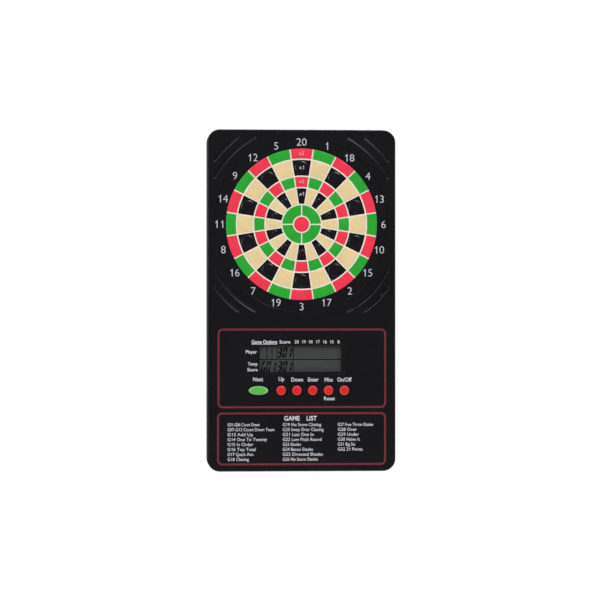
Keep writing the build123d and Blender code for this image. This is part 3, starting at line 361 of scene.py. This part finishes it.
def sector_pad(bm, ring, middle_angle, gap, half_sector, button_radius, relief=DOME_RELIEF):
    """One raised pad between two radii and two straight-sided gaps."""
    middle_radius = (ring[0] + ring[1]) / 2
    steps = rescaled(eased(max(GRID, int((ring[1] - ring[0]) / GRID_PITCH))))
    rows = []
    for u in steps:
        radius = ring[0] + (ring[1] - ring[0]) * u
        half_angle = half_sector - asin(gap / 2 / radius)
        row = []
        for v in steps:
            angle = middle_angle + half_angle * (2 * v - 1)
            side = radius * sin(half_sector - abs(angle - middle_angle)) - gap / 2
            edge = min(radius - ring[0], ring[1] - radius, side)
            x = radius * sin(angle)
            z = radius * cos(angle)
            off = hypot(x - middle_radius * sin(middle_angle), z - middle_radius * cos(middle_angle))
            row.append(bm.verts.new((x * MM, pad_depth(edge, off, button_radius, relief), z * MM)))
        rows.append(row)
    for first, second in zip(rows, rows[1:]):
        bridge(bm, second, first, closed=False)


def bull_pad(bm):
    """The round pad in the middle."""
    loops = []
    for inset in BULL_INSETS:
        radius = BULL_RADIUS * (1 - inset)
        y = pad_depth(BULL_RADIUS - radius, radius, BULL_RADIUS * BULL_BUTTON)
        loops.append(circle(bm, BULL_AROUND, lambda c, s: (radius * MM * s, y, radius * MM * c)))
    for outer, inner in zip(loops, loops[1:]):
        bridge(bm, outer, inner)
    bm.faces.new(loops[-1])


def ring_pads(bm, ring, odd, button_radius, relief):
    """Every second pad of one ring."""
    half_sector = pi / SECTORS
    for sector in range(odd, SECTORS, 2):
        middle_angle = 2 * pi * sector / SECTORS
        sector_pad(bm, ring, middle_angle, SPOKE_WIDTH, half_sector, button_radius, relief)


def board_pads(name, rings, odd, material, extra=None, relief=DOME_RELIEF):
    """All pads of one colour as one piece."""
    bm = bmesh.new()
    for ring, button_radius in rings:
        ring_pads(bm, ring, odd, button_radius, relief)
    if extra:
        extra(bm)
    bmesh.ops.recalc_face_normals(bm, faces=bm.faces)
    piece = make_piece(name + "_embossed", bm, material, "case", (name,))
    face_front(piece)
    smooth(piece, 60)
    return piece


def face_front(piece):
    """Turn a flat piece's faces to the front (-Y)."""
    mesh = piece.data
    up = sum(polygon.normal.y * polygon.area for polygon in mesh.polygons)
    if up > 0:
        mesh.flip_normals()


def bull_quadrants(bm):
    """Four pads of the outer bull."""
    for quarter in range(4):
        middle_angle = pi / 4 + quarter * pi / 2
        sector_pad(bm, OUTER_BULL, middle_angle, BULL_CROSS_WIDTH, pi / 4, QUADRANT_BUTTON)


SCORING_RINGS = ((TREBLE, TREBLE_BUTTON), (DOUBLE, DOUBLE_BUTTON))
SINGLE_RINGS = ((INNER_SINGLE, INNER_BUTTON), (OUTER_SINGLE, OUTER_BUTTON))
board_pads("pads_red", SCORING_RINGS, 0, PRINT_RED, bull_pad)
board_pads("pads_green", SCORING_RINGS, 1, PRINT_GREEN, bull_quadrants)
board_pads("pads_black", SINGLE_RINGS, 0, PAD_BLACK, relief=BLACK_RELIEF)
board_pads("pads_cream", SINGLE_RINGS, 1, PRINT_CREAM)


# ---- Printing ------------------------------------------------------------------------------
def font_mesh(words, weight=0.0):
    """Words in Blender's own font, starting at the origin, in the font's units."""
    curve = bpy.data.curves.new("words", "FONT")
    curve.body = words
    curve.offset = weight
    curve.resolution_u = 3
    holder = bpy.data.objects.new("words", curve)
    bpy.context.scene.collection.objects.link(holder)
    bpy.context.view_layer.update()
    mesh = bpy.data.meshes.new_from_object(holder)
    bpy.data.objects.remove(holder)
    return mesh


def reach(words, axis=0):
    """How far words extend to the right or upwards from the origin."""
    mesh = font_mesh(words)
    furthest = max(vertex.co[axis] for vertex in mesh.vertices)
    bpy.data.meshes.remove(mesh)
    return furthest


CAP_UNITS = reach("H", axis=1)
BAR_REACH = reach("I")
# The figure 1 with its flag, in capital heights: foot, stem and the slanted flag.
ONE_OUTLINE = ((0.38, 0.0), (0.52, 0.0), (0.52, 1.0), (0.43, 1.0), (0.35, 0.88), (0.21, 0.79), (0.21, 0.66),
               (0.38, 0.75))
ONE_ADVANCE = 0.76
glyphs = {}


def glyph(character, weight):
    """Points, faces and advance of a character, in capital heights."""
    key = (character, weight)
    if key in glyphs:
        return glyphs[key]
    if character == "1":
        grow = weight / CAP_UNITS
        points = [(x + (grow if x > 0.4 else -grow), y) for x, y in ONE_OUTLINE]
        glyphs[key] = (points, [tuple(range(len(points)))], ONE_ADVANCE)
        return glyphs[key]
    advance = (reach(character + "I") - BAR_REACH) / CAP_UNITS
    points = []
    faces = []
    if character != " ":
        mesh = font_mesh(character, weight)
        points = [(vertex.co.x / CAP_UNITS, vertex.co.y / CAP_UNITS) for vertex in mesh.vertices]
        faces = [tuple(polygon.vertices) for polygon in mesh.polygons]
        bpy.data.meshes.remove(mesh)
    glyphs[key] = (points, faces, advance)
    return glyphs[key]


def text_mesh(bm, words, x, z, cap_height, y, align="CENTER", width=None, weight=0.0, narrow=1.0):
    """Words as a printed layer facing the front, x and z in millimetres, z at mid height."""
    pen = 0.0
    placed = []
    for character in words:
        points, faces, advance = glyph(character, weight)
        placed.append(([(pen + px, py) for px, py in points], faces))
        pen += advance
    across = [px for points, faces in placed for px, py in points]
    left = min(across)
    length = (max(across) - left) * cap_height
    stretch = width / length if width else narrow
    start = {"LEFT": x, "CENTER": x - length * stretch / 2, "RIGHT": x - length * stretch}[align]
    for points, faces in placed:
        vertices = [bm.verts.new(((start + (px - left) * cap_height * stretch) * MM, y,
                                  (z + (py - 0.5) * cap_height) * MM)) for px, py in points]
        for face in faces:
            bm.faces.new([vertices[i] for i in face])


def printed(name, draw, material, body="case"):
    """A printed layer drawn by a function of a bmesh."""
    bm = bmesh.new()
    draw(bm)
    piece = make_piece(name, bm, material, body)
    face_front(piece)
    return piece


def draw_numbers(bm):
    """The ring of sector numbers, all upright."""
    for sector, number in enumerate(SECTOR_NUMBERS):
        angle = 2 * pi * sector / SECTORS
        text_mesh(bm, str(number), NUMBER_RADIUS * sin(angle), NUMBER_RADIUS * cos(angle), NUMBER_HEIGHT,
                  FILM_Y - INK, weight=-0.007)


printed("sector_numbers", draw_numbers, INK_GREY)


def bar(bm, x0, x1, z0, z1, y):
    """Flat rectangle, in millimetres."""
    corners = ((x0, z0), (x1, z0), (x1, z1), (x0, z1))
    bm.faces.new(add_loop(bm, [(x * MM, y, z * MM) for x, z in corners]))


def rounded_rectangle(x0, x1, z0, z1, radius, steps=10):
    """Points of a rounded rectangle, anticlockwise, in millimetres."""
    points = []
    corners = ((x1 - radius, z1 - radius, 0), (x0 + radius, z1 - radius, 90),
               (x0 + radius, z0 + radius, 180), (x1 - radius, z0 + radius, 270))
    for cx, cz, start in corners:
        for i in range(steps + 1):
            angle = radians(start + 90 * i / steps)
            points.append((cx + radius * cos(angle), cz + radius * sin(angle)))
    return points


OUTLINE_WIDTH = 1.9
OUTLINE_CORNER = 4.0
PANELS = ((-80.3, 81.0, -176.5, -101.6), (-80.8, 80.9, -231.6, -182.5))


def draw_outlines(bm):
    """Rounded red frames around the display panel and the game list."""
    half = OUTLINE_WIDTH / 2
    for x0, x1, z0, z1 in PANELS:
        outer = rounded_rectangle(x0 - half, x1 + half, z0 - half, z1 + half, OUTLINE_CORNER + half)
        inner = rounded_rectangle(x0 + half, x1 - half, z0 + half, z1 - half, OUTLINE_CORNER - half)
        y = FRONT_Y - INK
        bridge(bm, add_loop(bm, [(x * MM, y, z * MM) for x, z in outer]),
               add_loop(bm, [(x * MM, y, z * MM) for x, z in inner]))


printed("panel_outlines", draw_outlines, INK_RED)

# Words over the keys, with their middle
KEY_LABELS = (("Next", -42.1, -149.5), ("Up", -19.6, -149.3), ("Down", -4.3, -149.9),
              ("Enter", 11.2, -149.9), ("Miss", 26.2, -150.0), ("On/Off", 41.5, -150.0))
KEY_LABEL_HEIGHT = 3.8
HEADING_Z = -113.5
# Words over the display's right part, with the X of their middle
COLUMN_HEADS = (("20", -4.8), ("19", 2.2), ("18", 8.7), ("17", 15.7), ("16", 22.6), ("15", 29.2),
                ("B", 35.9))
COLUMN_HEAD_HEIGHT = 3.0
# Words around the display: X of the end that lines up, Z, capital height, which end, width, extra weight
DISPLAY_LABELS = (
    ("Game Options", -48.5, HEADING_Z, 3.4, "LEFT", 24.8, 0.02),
    ("Score", -21.4, HEADING_Z, 3.1, "LEFT", 10.4, 0.014),
    ("Player", -43.3, -123.1, 3.2, "RIGHT", 10.7, 0.008),
    ("Temp", -42.8, -134.7, 3.0, "RIGHT", 9.2, 0.014),
    ("Score", -42.5, -140.3, 3.0, "RIGHT", 10.0, 0.014),
)
UNDERLINE = (-48.6, -23.7, HEADING_Z - 2.5, HEADING_Z - 2.15)


def draw_panel_labels(bm):
    """Words around the display and the keys."""
    y = FRONT_Y - INK
    for words, x, z in KEY_LABELS:
        text_mesh(bm, words, x, z, KEY_LABEL_HEIGHT, y, weight=0.011, narrow=0.85)
    text_mesh(bm, "Reset", 27.0, -168.2, 3.3, y, weight=0.014, narrow=0.98)
    for words, x in COLUMN_HEADS:
        text_mesh(bm, words, x, HEADING_Z, COLUMN_HEAD_HEIGHT, y, weight=0.01, narrow=0.95)
    for words, x, z, cap_height, align, width, weight in DISPLAY_LABELS:
        text_mesh(bm, words, x, z, cap_height, y, align, width, weight)
    bar(bm, *UNDERLINE, y)


printed("panel_labels", draw_panel_labels, INK_WHITE)

LIST_TITLE_Z = -187.3
LIST_TOP_Z = -193.3
LIST_PITCH = 4.77
LIST_HEIGHT = 3.0
# Left edge of each column, then its rows with their widths
LIST_COLUMNS = (
    (-71.6, (("G01-G06 Count Down", 30.9), ("G07-G12 Count Down Team", 45.1), ("G13 Add Up", 24.5),
             ("G14 One To Twenty", 38.1), ("G15 In Order", 24.8), ("G16 Top Total", 27.2),
             ("G17 Quick Aim", 24.8), ("G18 Closing", 20.5))),
    (-18.3, (("G19 No Score Closing", 37.2), ("G20 Swap Over Closing", 39.5), ("G21 Last One In", 29.9),
             ("G22 Low Pitch Round", 37.6), ("G23 Shades", 17.5), ("G24 Bonus Shades", 29.2),
             ("G25 Directed Shades", 38.9), ("G26 No Score Shades", 33.9))),
    (35.0, (("G27 Free Throw Shades", 34.2), ("G28 Over", 18.5), ("G29 Under", 20.6),
            ("G30 Halve It", 21.4), ("G31 Big Six", 17.0), ("G32 21 Points", 24.1))),
)


def draw_game_list(bm):
    """Title and three columns of game names."""
    y = FRONT_Y - INK
    text_mesh(bm, "GAME    LIST", -1.1, LIST_TITLE_Z, 4.3, y, width=31.6, weight=0.018)
    for x, rows in LIST_COLUMNS:
        for row, (words, width) in enumerate(rows):
            z = LIST_TOP_Z - row * LIST_PITCH
            text_mesh(bm, words, x, z, LIST_HEIGHT, y, "LEFT", width, weight=0.004)


printed("game_list", draw_game_list, INK_WHITE)


# Factor marks on the top sector: words, Z and capital height
BLACK_ZONE_MARKS = (("x1", 55.0, 3.6), ("x1", 29.5, 3.6))
RED_ZONE_MARKS = (("x2", 68.6, 3.4), ("x3", 41.5, 3.4))


def draw_zone_marks(marks):
    """Function that draws small factor marks on the top sector's pads."""
    def draw(bm):
        for words, z, cap_height in marks:
            text_mesh(bm, words, 0, z, cap_height, PAD_Y - INK, weight=0.002)
    return draw


printed("zone_marks_black", draw_zone_marks(BLACK_ZONE_MARKS), INK_GREY)
printed("zone_marks_red", draw_zone_marks(RED_ZONE_MARKS), INK_PINK)

# ---- Display -------------------------------------------------------------------------------
SLANT = tan(radians(10))
DIGIT_HEIGHT = 10.1
DIGIT_WIDTH = 4.1
STROKE = 1.5
SEGMENT_GAP = 0.18
# Which of the seven strokes each figure uses: top, upper right, lower right, bottom, lower left,
# upper left, middle.
FIGURES = {"0": "abcdef", "1": "bc", "3": "abcdg", "G": "acdef"}


def segment_outlines():
    """The seven strokes of a figure, before slanting, with (0, 0) at its lower left."""
    w, h, s, g = DIGIT_WIDTH, DIGIT_HEIGHT, STROKE, SEGMENT_GAP
    m = h / 2
    return {
        "a": ((g, h), (w - g, h), (w - s - g, h - s), (s + g, h - s)),
        "b": ((w, h - g), (w, m + g), (w - s, m + s / 2 + g), (w - s, h - s - g)),
        "c": ((w, m - g), (w, g), (w - s, s + g), (w - s, m - s / 2 - g)),
        "d": ((w - g, 0), (g, 0), (s + g, s), (w - s - g, s)),
        "e": ((0, g), (0, m - g), (s, m - s / 2 - g), (s, s + g)),
        "f": ((0, m + g), (0, h - g), (s, h - s - g), (s, m + s / 2 + g)),
        "g": ((g, m), (s, m + s / 2), (w - s, m + s / 2), (w - g, m), (w - s, m - s / 2), (s, m - s / 2)),
    }


def draw_figure(bm, figure, x, z, y):
    """One slanted seven-stroke figure, x and z at its lower left."""
    outlines = segment_outlines()
    for stroke in FIGURES[figure]:
        points = [((x + px + pz * SLANT) * MM, y, (z + pz) * MM) for px, pz in outlines[stroke]]
        bm.faces.new(add_loop(bm, points))


DIVIDER_Z = -130.6
LCD_TOP = -117.2
LCD_BOTTOM = -142.5
LCD_LEFT = -40.9
LCD_RIGHT = 38.5
# Each figure with the X of its middle, and the Z of each row's foot
UPPER_FIGURES = (("3", -21.0), ("0", -16.1), ("1", -11.4))
LOWER_FIGURES = (("G", -36.6), ("0", -31.8), ("1", -26.9), ("3", -21.0), ("0", -16.1), ("1", -11.4))
UPPER_FOOT_Z = -128.8
LOWER_FOOT_Z = -142.3
COLUMN_LINE_X = -8.0
SHORT_LINES_X = (-33.4, -28.5, -23.7)
LINE_HALF_WIDTH = 0.35


def draw_display(bm):
    """Dark strokes and grid lines of the liquid crystal display."""
    y = LCD_Y - INK
    half = LINE_HALF_WIDTH
    lean = DIGIT_WIDTH / 2 + SLANT * DIGIT_HEIGHT / 2
    for figures, bottom in ((UPPER_FIGURES, UPPER_FOOT_Z), (LOWER_FIGURES, LOWER_FOOT_Z)):
        for figure, middle in figures:
            draw_figure(bm, figure, middle - lean, bottom, y)
    bar(bm, LCD_LEFT, LCD_RIGHT, DIVIDER_Z - half, DIVIDER_Z + half, y)
    bar(bm, COLUMN_LINE_X - half, COLUMN_LINE_X + half, LCD_BOTTOM, LCD_TOP, y)
    for x in SHORT_LINES_X:
        bar(bm, x - half, x + half, DIVIDER_Z, LCD_TOP, y)


printed("lcd_strokes", draw_display, LCD_INK)


def draw_window_border(bm):
    """Black border printed on the window, around the part of the display that shows."""
    low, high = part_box("display_window")
    outer = rounded_rectangle(low.x / MM, high.x / MM, low.z / MM, high.z / MM, 1.0)
    inner = rounded_rectangle(LCD_LEFT, LCD_RIGHT, LCD_BOTTOM, LCD_TOP, 0.3)
    y = low.y - INK
    bridge(bm, add_loop(bm, [(x * MM, y, z * MM) for x, z in outer]),
           add_loop(bm, [(x * MM, y, z * MM) for x, z in inner]))


printed("window_border", draw_window_border, FILM_BLACK)


# ---- Keys ----------------------------------------------------------------------------------
KEY_FLANGE = 1.3 * MM            # how far the flange reaches past the key
FLANGE_THICKNESS = 1.4 * MM
KEY_ROUND = 0.95 * MM            # rounding of the key's edge
KEY_DOME = 0.3 * MM              # how far the top rises inside that
KEY_AROUND = 96
ROUND_STEPS = 8


def key_cap(name, material):
    """A key with a rounded edge and a gently domed top, over its flange."""
    low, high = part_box(name)
    centre_x = (low.x + high.x) / 2
    centre_z = (low.z + high.z) / 2
    half_x = (high.x - low.x) / 2 - KEY_FLANGE
    half_z = (high.z - low.z) / 2 - KEY_FLANGE
    top = low.y
    flange_front = high.y - FLANGE_THICKNESS
    shoulder = top + KEY_DOME + KEY_ROUND
    # half sizes and depth of each ring, from the back to the middle of the top
    rings = [(half_x + KEY_FLANGE, half_z + KEY_FLANGE, high.y),
             (half_x + KEY_FLANGE, half_z + KEY_FLANGE, flange_front),
             (half_x, half_z, flange_front), (half_x, half_z, shoulder)]
    for i in range(1, ROUND_STEPS + 1):
        angle = pi / 2 * i / ROUND_STEPS
        inset = KEY_ROUND * (1 - cos(angle))
        rings.append((half_x - inset, half_z - inset, shoulder - KEY_ROUND * sin(angle)))
    for i in range(1, ROUND_STEPS):
        share = 1 - i / ROUND_STEPS
        y = top + KEY_DOME * share ** 2
        rings.append(((half_x - KEY_ROUND) * share, (half_z - KEY_ROUND) * share, y))
    bm = bmesh.new()
    loops = []
    for ring_x, ring_z, y in rings:
        loops.append(circle(bm, KEY_AROUND, lambda c, s: (centre_x + ring_x * c, y, centre_z + ring_z * s)))
    for first, second in zip(loops, loops[1:]):
        bridge(bm, first, second)
    bm.faces.new(loops[0])
    bm.faces.new(loops[-1])
    bmesh.ops.recalc_face_normals(bm, faces=bm.faces)
    piece = make_piece(name + "_cap", bm, material, name.replace("key_", "") + "_button", (name,))
    smooth(piece, 50)


for key in KEY_NAMES:
    if key == "next":
        key_cap("key_next", KEY_GREEN)
    else:
        key_cap("key_" + key, KEY_RED)


# ---- Cells and springs ---------------------------------------------------------------------
NUB_SIDES = {1: 1, 2: -1, 3: 1}     # the way each cell's nub points along X
BAND_LENGTH = 13.0
NUB_LENGTH = 1.3
SLEEVE_ROUND = 0.6      # rounding of the sleeve's ends
SLEEVE_LIP = 0.9        # how far the sleeve folds in over the cell's ends
SIGN_SIZE = 3.2         # plus and minus signs
SIGN_STROKE = 0.7
AROUND = 64


def lathe_along_x(bm, profile, start, side, material_index=0):
    """Surface turned about an X axis through start, from (distance, radius) points in millimetres."""
    loops = []
    for distance, radius in profile:
        x = start.x + side * distance * MM
        r = radius * MM
        loops.append(circle(bm, AROUND, lambda c, s: (x, start.y + r * c, start.z + r * s)))
    before = len(bm.faces)
    for first, second in zip(loops, loops[1:]):
        bridge(bm, first, second)
    bm.faces.ensure_lookup_table()
    for face in bm.faces[before:]:
        face.material_index = material_index
    return loops


def end_arc(distance, radius, rounding, first, last, steps=6):
    """Quarter round of a sleeve's end: (distance, radius) points between two angles in degrees."""
    angles = [radians(first + (last - first) * i / steps) for i in range(steps + 1)]
    return [(distance + rounding * cos(angle), radius + rounding * sin(angle)) for angle in angles]


def cell_parts(number):
    """A cell as its printed sleeve and the metal that shows at its two ends."""
    low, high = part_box(f"battery_{number}")
    side = NUB_SIDES[number]
    radius = (high.z - low.z) / 2 / MM
    length = (high.x - low.x) / MM
    shoulder = length - NUB_LENGTH
    start = Vector((low.x if side > 0 else high.x, (low.y + high.y) / 2, (low.z + high.z) / 2))
    flat_centre = SLEEVE_ROUND
    nub_centre = shoulder - SLEEVE_ROUND
    flat_end = [(0.25, radius - SLEEVE_LIP - 0.1), (0.0, radius - SLEEVE_LIP)]
    flat_end += end_arc(flat_centre, radius - SLEEVE_ROUND, SLEEVE_ROUND, 180, 90)
    nub_end = end_arc(nub_centre, radius - SLEEVE_ROUND, SLEEVE_ROUND, 90, 0)
    nub_end += [(shoulder, radius - SLEEVE_LIP), (shoulder - 0.3, radius - SLEEVE_LIP - 0.1)]
    band_start = shoulder - BAND_LENGTH
    bm = bmesh.new()
    lathe_along_x(bm, flat_end + [(band_start, radius)], start, side)
    lathe_along_x(bm, [(band_start, radius), (nub_centre, radius)] + nub_end, start, side, 1)
    bmesh.ops.recalc_face_normals(bm, faces=bm.faces)
    node = f"battery_{number}"
    sleeve = make_piece(node + "_sleeve", bm, SLEEVE, "case", (node,))
    sleeve.data.materials.append(SLEEVE_BAND)
    smooth(sleeve, 40)
    flat_cap = [(0.3, radius - SLEEVE_LIP), (0.3, 4.9), (0.1, 4.6), (0.1, 3.0)]
    nub_cap = [(shoulder - 0.3, radius - SLEEVE_LIP), (shoulder - 0.3, 3.3), (shoulder - 0.1, 3.0),
               (shoulder + 0.1, 2.75), (length - 0.35, 2.75), (length - 0.1, 2.6), (length, 2.3)]
    bm = bmesh.new()
    for profile in (flat_cap, nub_cap):
        bm.faces.new(lathe_along_x(bm, profile, start, side)[-1])
    bmesh.ops.recalc_face_normals(bm, faces=bm.faces)
    smooth(make_piece(node + "_ends", bm, NICKEL, "case"), 40)
    return start, side, radius, shoulder


def curved_patch(bm, start, side, radius, along, around, size):
    """Small printed rectangle lying on a cell's back, its size along and around in millimetres."""
    steps = 6
    outside = radius * MM + INK
    angles = [(around + size[1] * (i / steps - 0.5)) / radius for i in range(steps + 1)]
    rows = []
    for end in (along - size[0] / 2, along + size[0] / 2):
        x = start.x + side * end * MM
        rows.append(add_loop(bm, [(x, start.y + outside * cos(angle), start.z + outside * sin(angle))
                                  for angle in angles]))
    bridge(bm, rows[0], rows[1], closed=False)


def draw_poles(bm, start, side, radius, shoulder):
    """Plus and minus signs at the two ends of a cell."""
    plus_place = shoulder - BAND_LENGTH - 5.0
    curved_patch(bm, start, side, radius, 6.0, 0, (SIGN_STROKE, SIGN_SIZE))
    curved_patch(bm, start, side, radius, plus_place, 0, (SIGN_SIZE, SIGN_STROKE))
    curved_patch(bm, start, side, radius, plus_place, 0, (SIGN_STROKE, SIGN_SIZE))


poles = bmesh.new()
for number in NUB_SIDES:
    draw_poles(poles, *cell_parts(number))
bmesh.ops.recalc_face_normals(poles, faces=poles.faces)
make_piece("cell_pole_signs", poles, INK_WHITE, "case")


def tube(bm, points, radius, sides=10):
    """Round wire along a row of points."""
    loops = []
    across = Vector((1, 0, 0))
    for i, point in enumerate(points):
        ahead = points[min(i + 1, len(points) - 1)] - points[max(i - 1, 0)]
        ahead.normalize()
        across = (across - ahead * across.dot(ahead)).normalized()
        up = ahead.cross(across)
        loops.append(circle(bm, sides, lambda c, s: point + radius * (across * c + up * s)))
    for first, second in zip(loops, loops[1:]):
        bridge(bm, first, second)
    bm.faces.new(loops[0])
    bm.faces.new(loops[-1])


SPRING_TURNS = 4.5
CLOSED_TURNS = 1.0      # flat turns at each end
SPRING_RADII = (4.2, 2.8)
SPRING_WIRE = 0.4
CONTACT_SHEET = 0.4


def spring_line(number):
    """Centre line of a conical spring, from its contact plate to the cell's flat end."""
    low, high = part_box(f"battery_{number}")
    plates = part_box("battery_contacts")
    side = NUB_SIDES[number]
    cell_x = low.x if side > 0 else high.x
    plate_x = plates[0].x + CONTACT_SHEET * MM if side > 0 else plates[1].x - CONTACT_SHEET * MM
    first = plate_x + side * SPRING_WIRE * MM
    last = cell_x - side * SPRING_WIRE * MM
    wide, narrow = SPRING_RADII
    steps = 40
    points = []
    for i in range(int((SPRING_TURNS + 2 * CLOSED_TURNS) * steps) + 1):
        turn = i / steps
        share = min(1.0, max(0.0, (turn - CLOSED_TURNS) / SPRING_TURNS))
        radius = (wide + (narrow - wide) * share) * MM
        points.append(Vector((first + (last - first) * share,
                              (low.y + high.y) / 2 + radius * cos(2 * pi * turn),
                              (low.z + high.z) / 2 + radius * sin(2 * pi * turn))))
    return points


coils = bmesh.new()
for number in NUB_SIDES:
    tube(coils, spring_line(number), SPRING_WIRE * MM)
bmesh.ops.recalc_face_normals(coils, faces=coils.faces)
smooth(make_piece("battery_spring_coils", coils, STEEL, "case", ("battery_springs",)), 60)


# ---- CAD shells: smooth shading of the moulded rounds --------------------------------------
for node_name in ("front_shell", "rear_shell", "battery_door"):
    smooth(nodes[node_name], 30)


# ---- Stage, light and camera ---------------------------------------------------------------
CAMERA_DISTANCE = 2.6
CAMERA_TURN = radians(4.0)   # the camera stands this far round to the left
FRAME_SPAN = 0.5792          # what the picture spans at the front face
PICTURE_CENTRE = Vector((-1.6 * MM, FRONT_Y, -73.1 * MM))
FLOOR_Z = -0.5
FLOOR_RADIUS = 0.66
WORLD_FILL = 0.12            # strength of the even light
# Name, place, size and power of each soft light
SOFTBOXES = (
    ("key_light", (0.9, -1.9, 1.9), (1.1, 1.1), 41),
    ("fill_light", (-1.8, -1.8, 0.3), (1.4, 1.4), 20),
    ("top_left_light", (-1.1, -1.0, 1.8), (1.0, 1.0), 17),
    ("top_right_light", (1.1, -1.0, 1.8), (1.0, 1.0), 17),
    ("right_light", (2.4, 0.3, 0.5), (1.0, 1.6), 26),
    ("left_light", (-2.4, 0.7, 0.4), (1.0, 1.6), 26),
    ("back_light", (0.9, 2.0, 1.3), (1.4, 1.4), 110),
)
centre = (CASE_LOW + CASE_HIGH) / 2


def make_floor():
    """Round pale floor, far enough below for the battery door to slide out."""
    material, tree, shader, vector = new_material("floor_pale")
    clouds = noise(tree, vector, 3)
    pale = ramp(tree, clouds, (0.84, 0.84, 0.83, 1), (0.88, 0.88, 0.87, 1))
    tree.links.new(pale, shader.inputs["Base Color"])
    shader.inputs["Roughness"].default_value = 0.8
    bm = bmesh.new()
    bm.faces.new(circle(bm, 128, lambda c, s: (FLOOR_RADIUS * c, FLOOR_RADIUS * s, FLOOR_Z)))
    mesh = bpy.data.meshes.new("floor")
    bm.to_mesh(mesh)
    bm.free()
    floor = bpy.data.objects.new("floor", mesh)
    bpy.context.scene.collection.objects.link(floor)
    mesh.materials.append(material)


def aim(thing, target):
    """Point a light or the camera at a place."""
    direction = Vector(target) - thing.location
    thing.rotation_euler = direction.to_track_quat("-Z", "Y").to_euler()


def softbox(name, place, size, power):
    """Square soft light aimed at the object."""
    light = bpy.data.lights.new(name, "AREA")
    light.shape = "RECTANGLE"
    light.size = size[0]
    light.size_y = size[1]
    light.energy = power
    lamp = bpy.data.objects.new(name, light)
    bpy.context.scene.collection.objects.link(lamp)
    lamp.location = place
    aim(lamp, centre)


def make_world():
    """White backdrop for the camera, dimmer even light for everything else."""
    world = bpy.data.worlds.new("studio")
    bpy.context.scene.world = world
    world.use_nodes = True
    tree = world.node_tree
    tree.nodes.clear()
    output = tree.nodes.new("ShaderNodeOutputWorld")
    mix = tree.nodes.new("ShaderNodeMixShader")
    path = tree.nodes.new("ShaderNodeLightPath")
    fill = tree.nodes.new("ShaderNodeBackground")
    fill.inputs["Color"].default_value = (1, 1, 1, 1)
    fill.inputs["Strength"].default_value = WORLD_FILL
    white = tree.nodes.new("ShaderNodeBackground")
    white.inputs["Color"].default_value = (1, 1, 1, 1)
    white.inputs["Strength"].default_value = 1.0
    tree.links.new(path.outputs["Is Camera Ray"], mix.inputs["Fac"])
    tree.links.new(fill.outputs["Background"], mix.inputs[1])
    tree.links.new(white.outputs["Background"], mix.inputs[2])
    tree.links.new(mix.outputs["Shader"], output.inputs["Surface"])


make_floor()
make_world()
for light_row in SOFTBOXES:
    softbox(*light_row)

camera_data = bpy.data.cameras.new("camera")
camera_data.sensor_width = 36
camera_data.lens = camera_data.sensor_width * CAMERA_DISTANCE / FRAME_SPAN
camera_data.clip_end = 50
camera = bpy.data.objects.new("camera", camera_data)
bpy.context.scene.collection.objects.link(camera)
camera.location = PICTURE_CENTRE + CAMERA_DISTANCE * Vector((-sin(CAMERA_TURN), -cos(CAMERA_TURN), 0))
aim(camera, PICTURE_CENTRE)
bpy.context.scene.camera = camera
bpy.context.scene.view_settings.view_transform = "Standard"
bpy.context.scene.view_settings.look = "None"
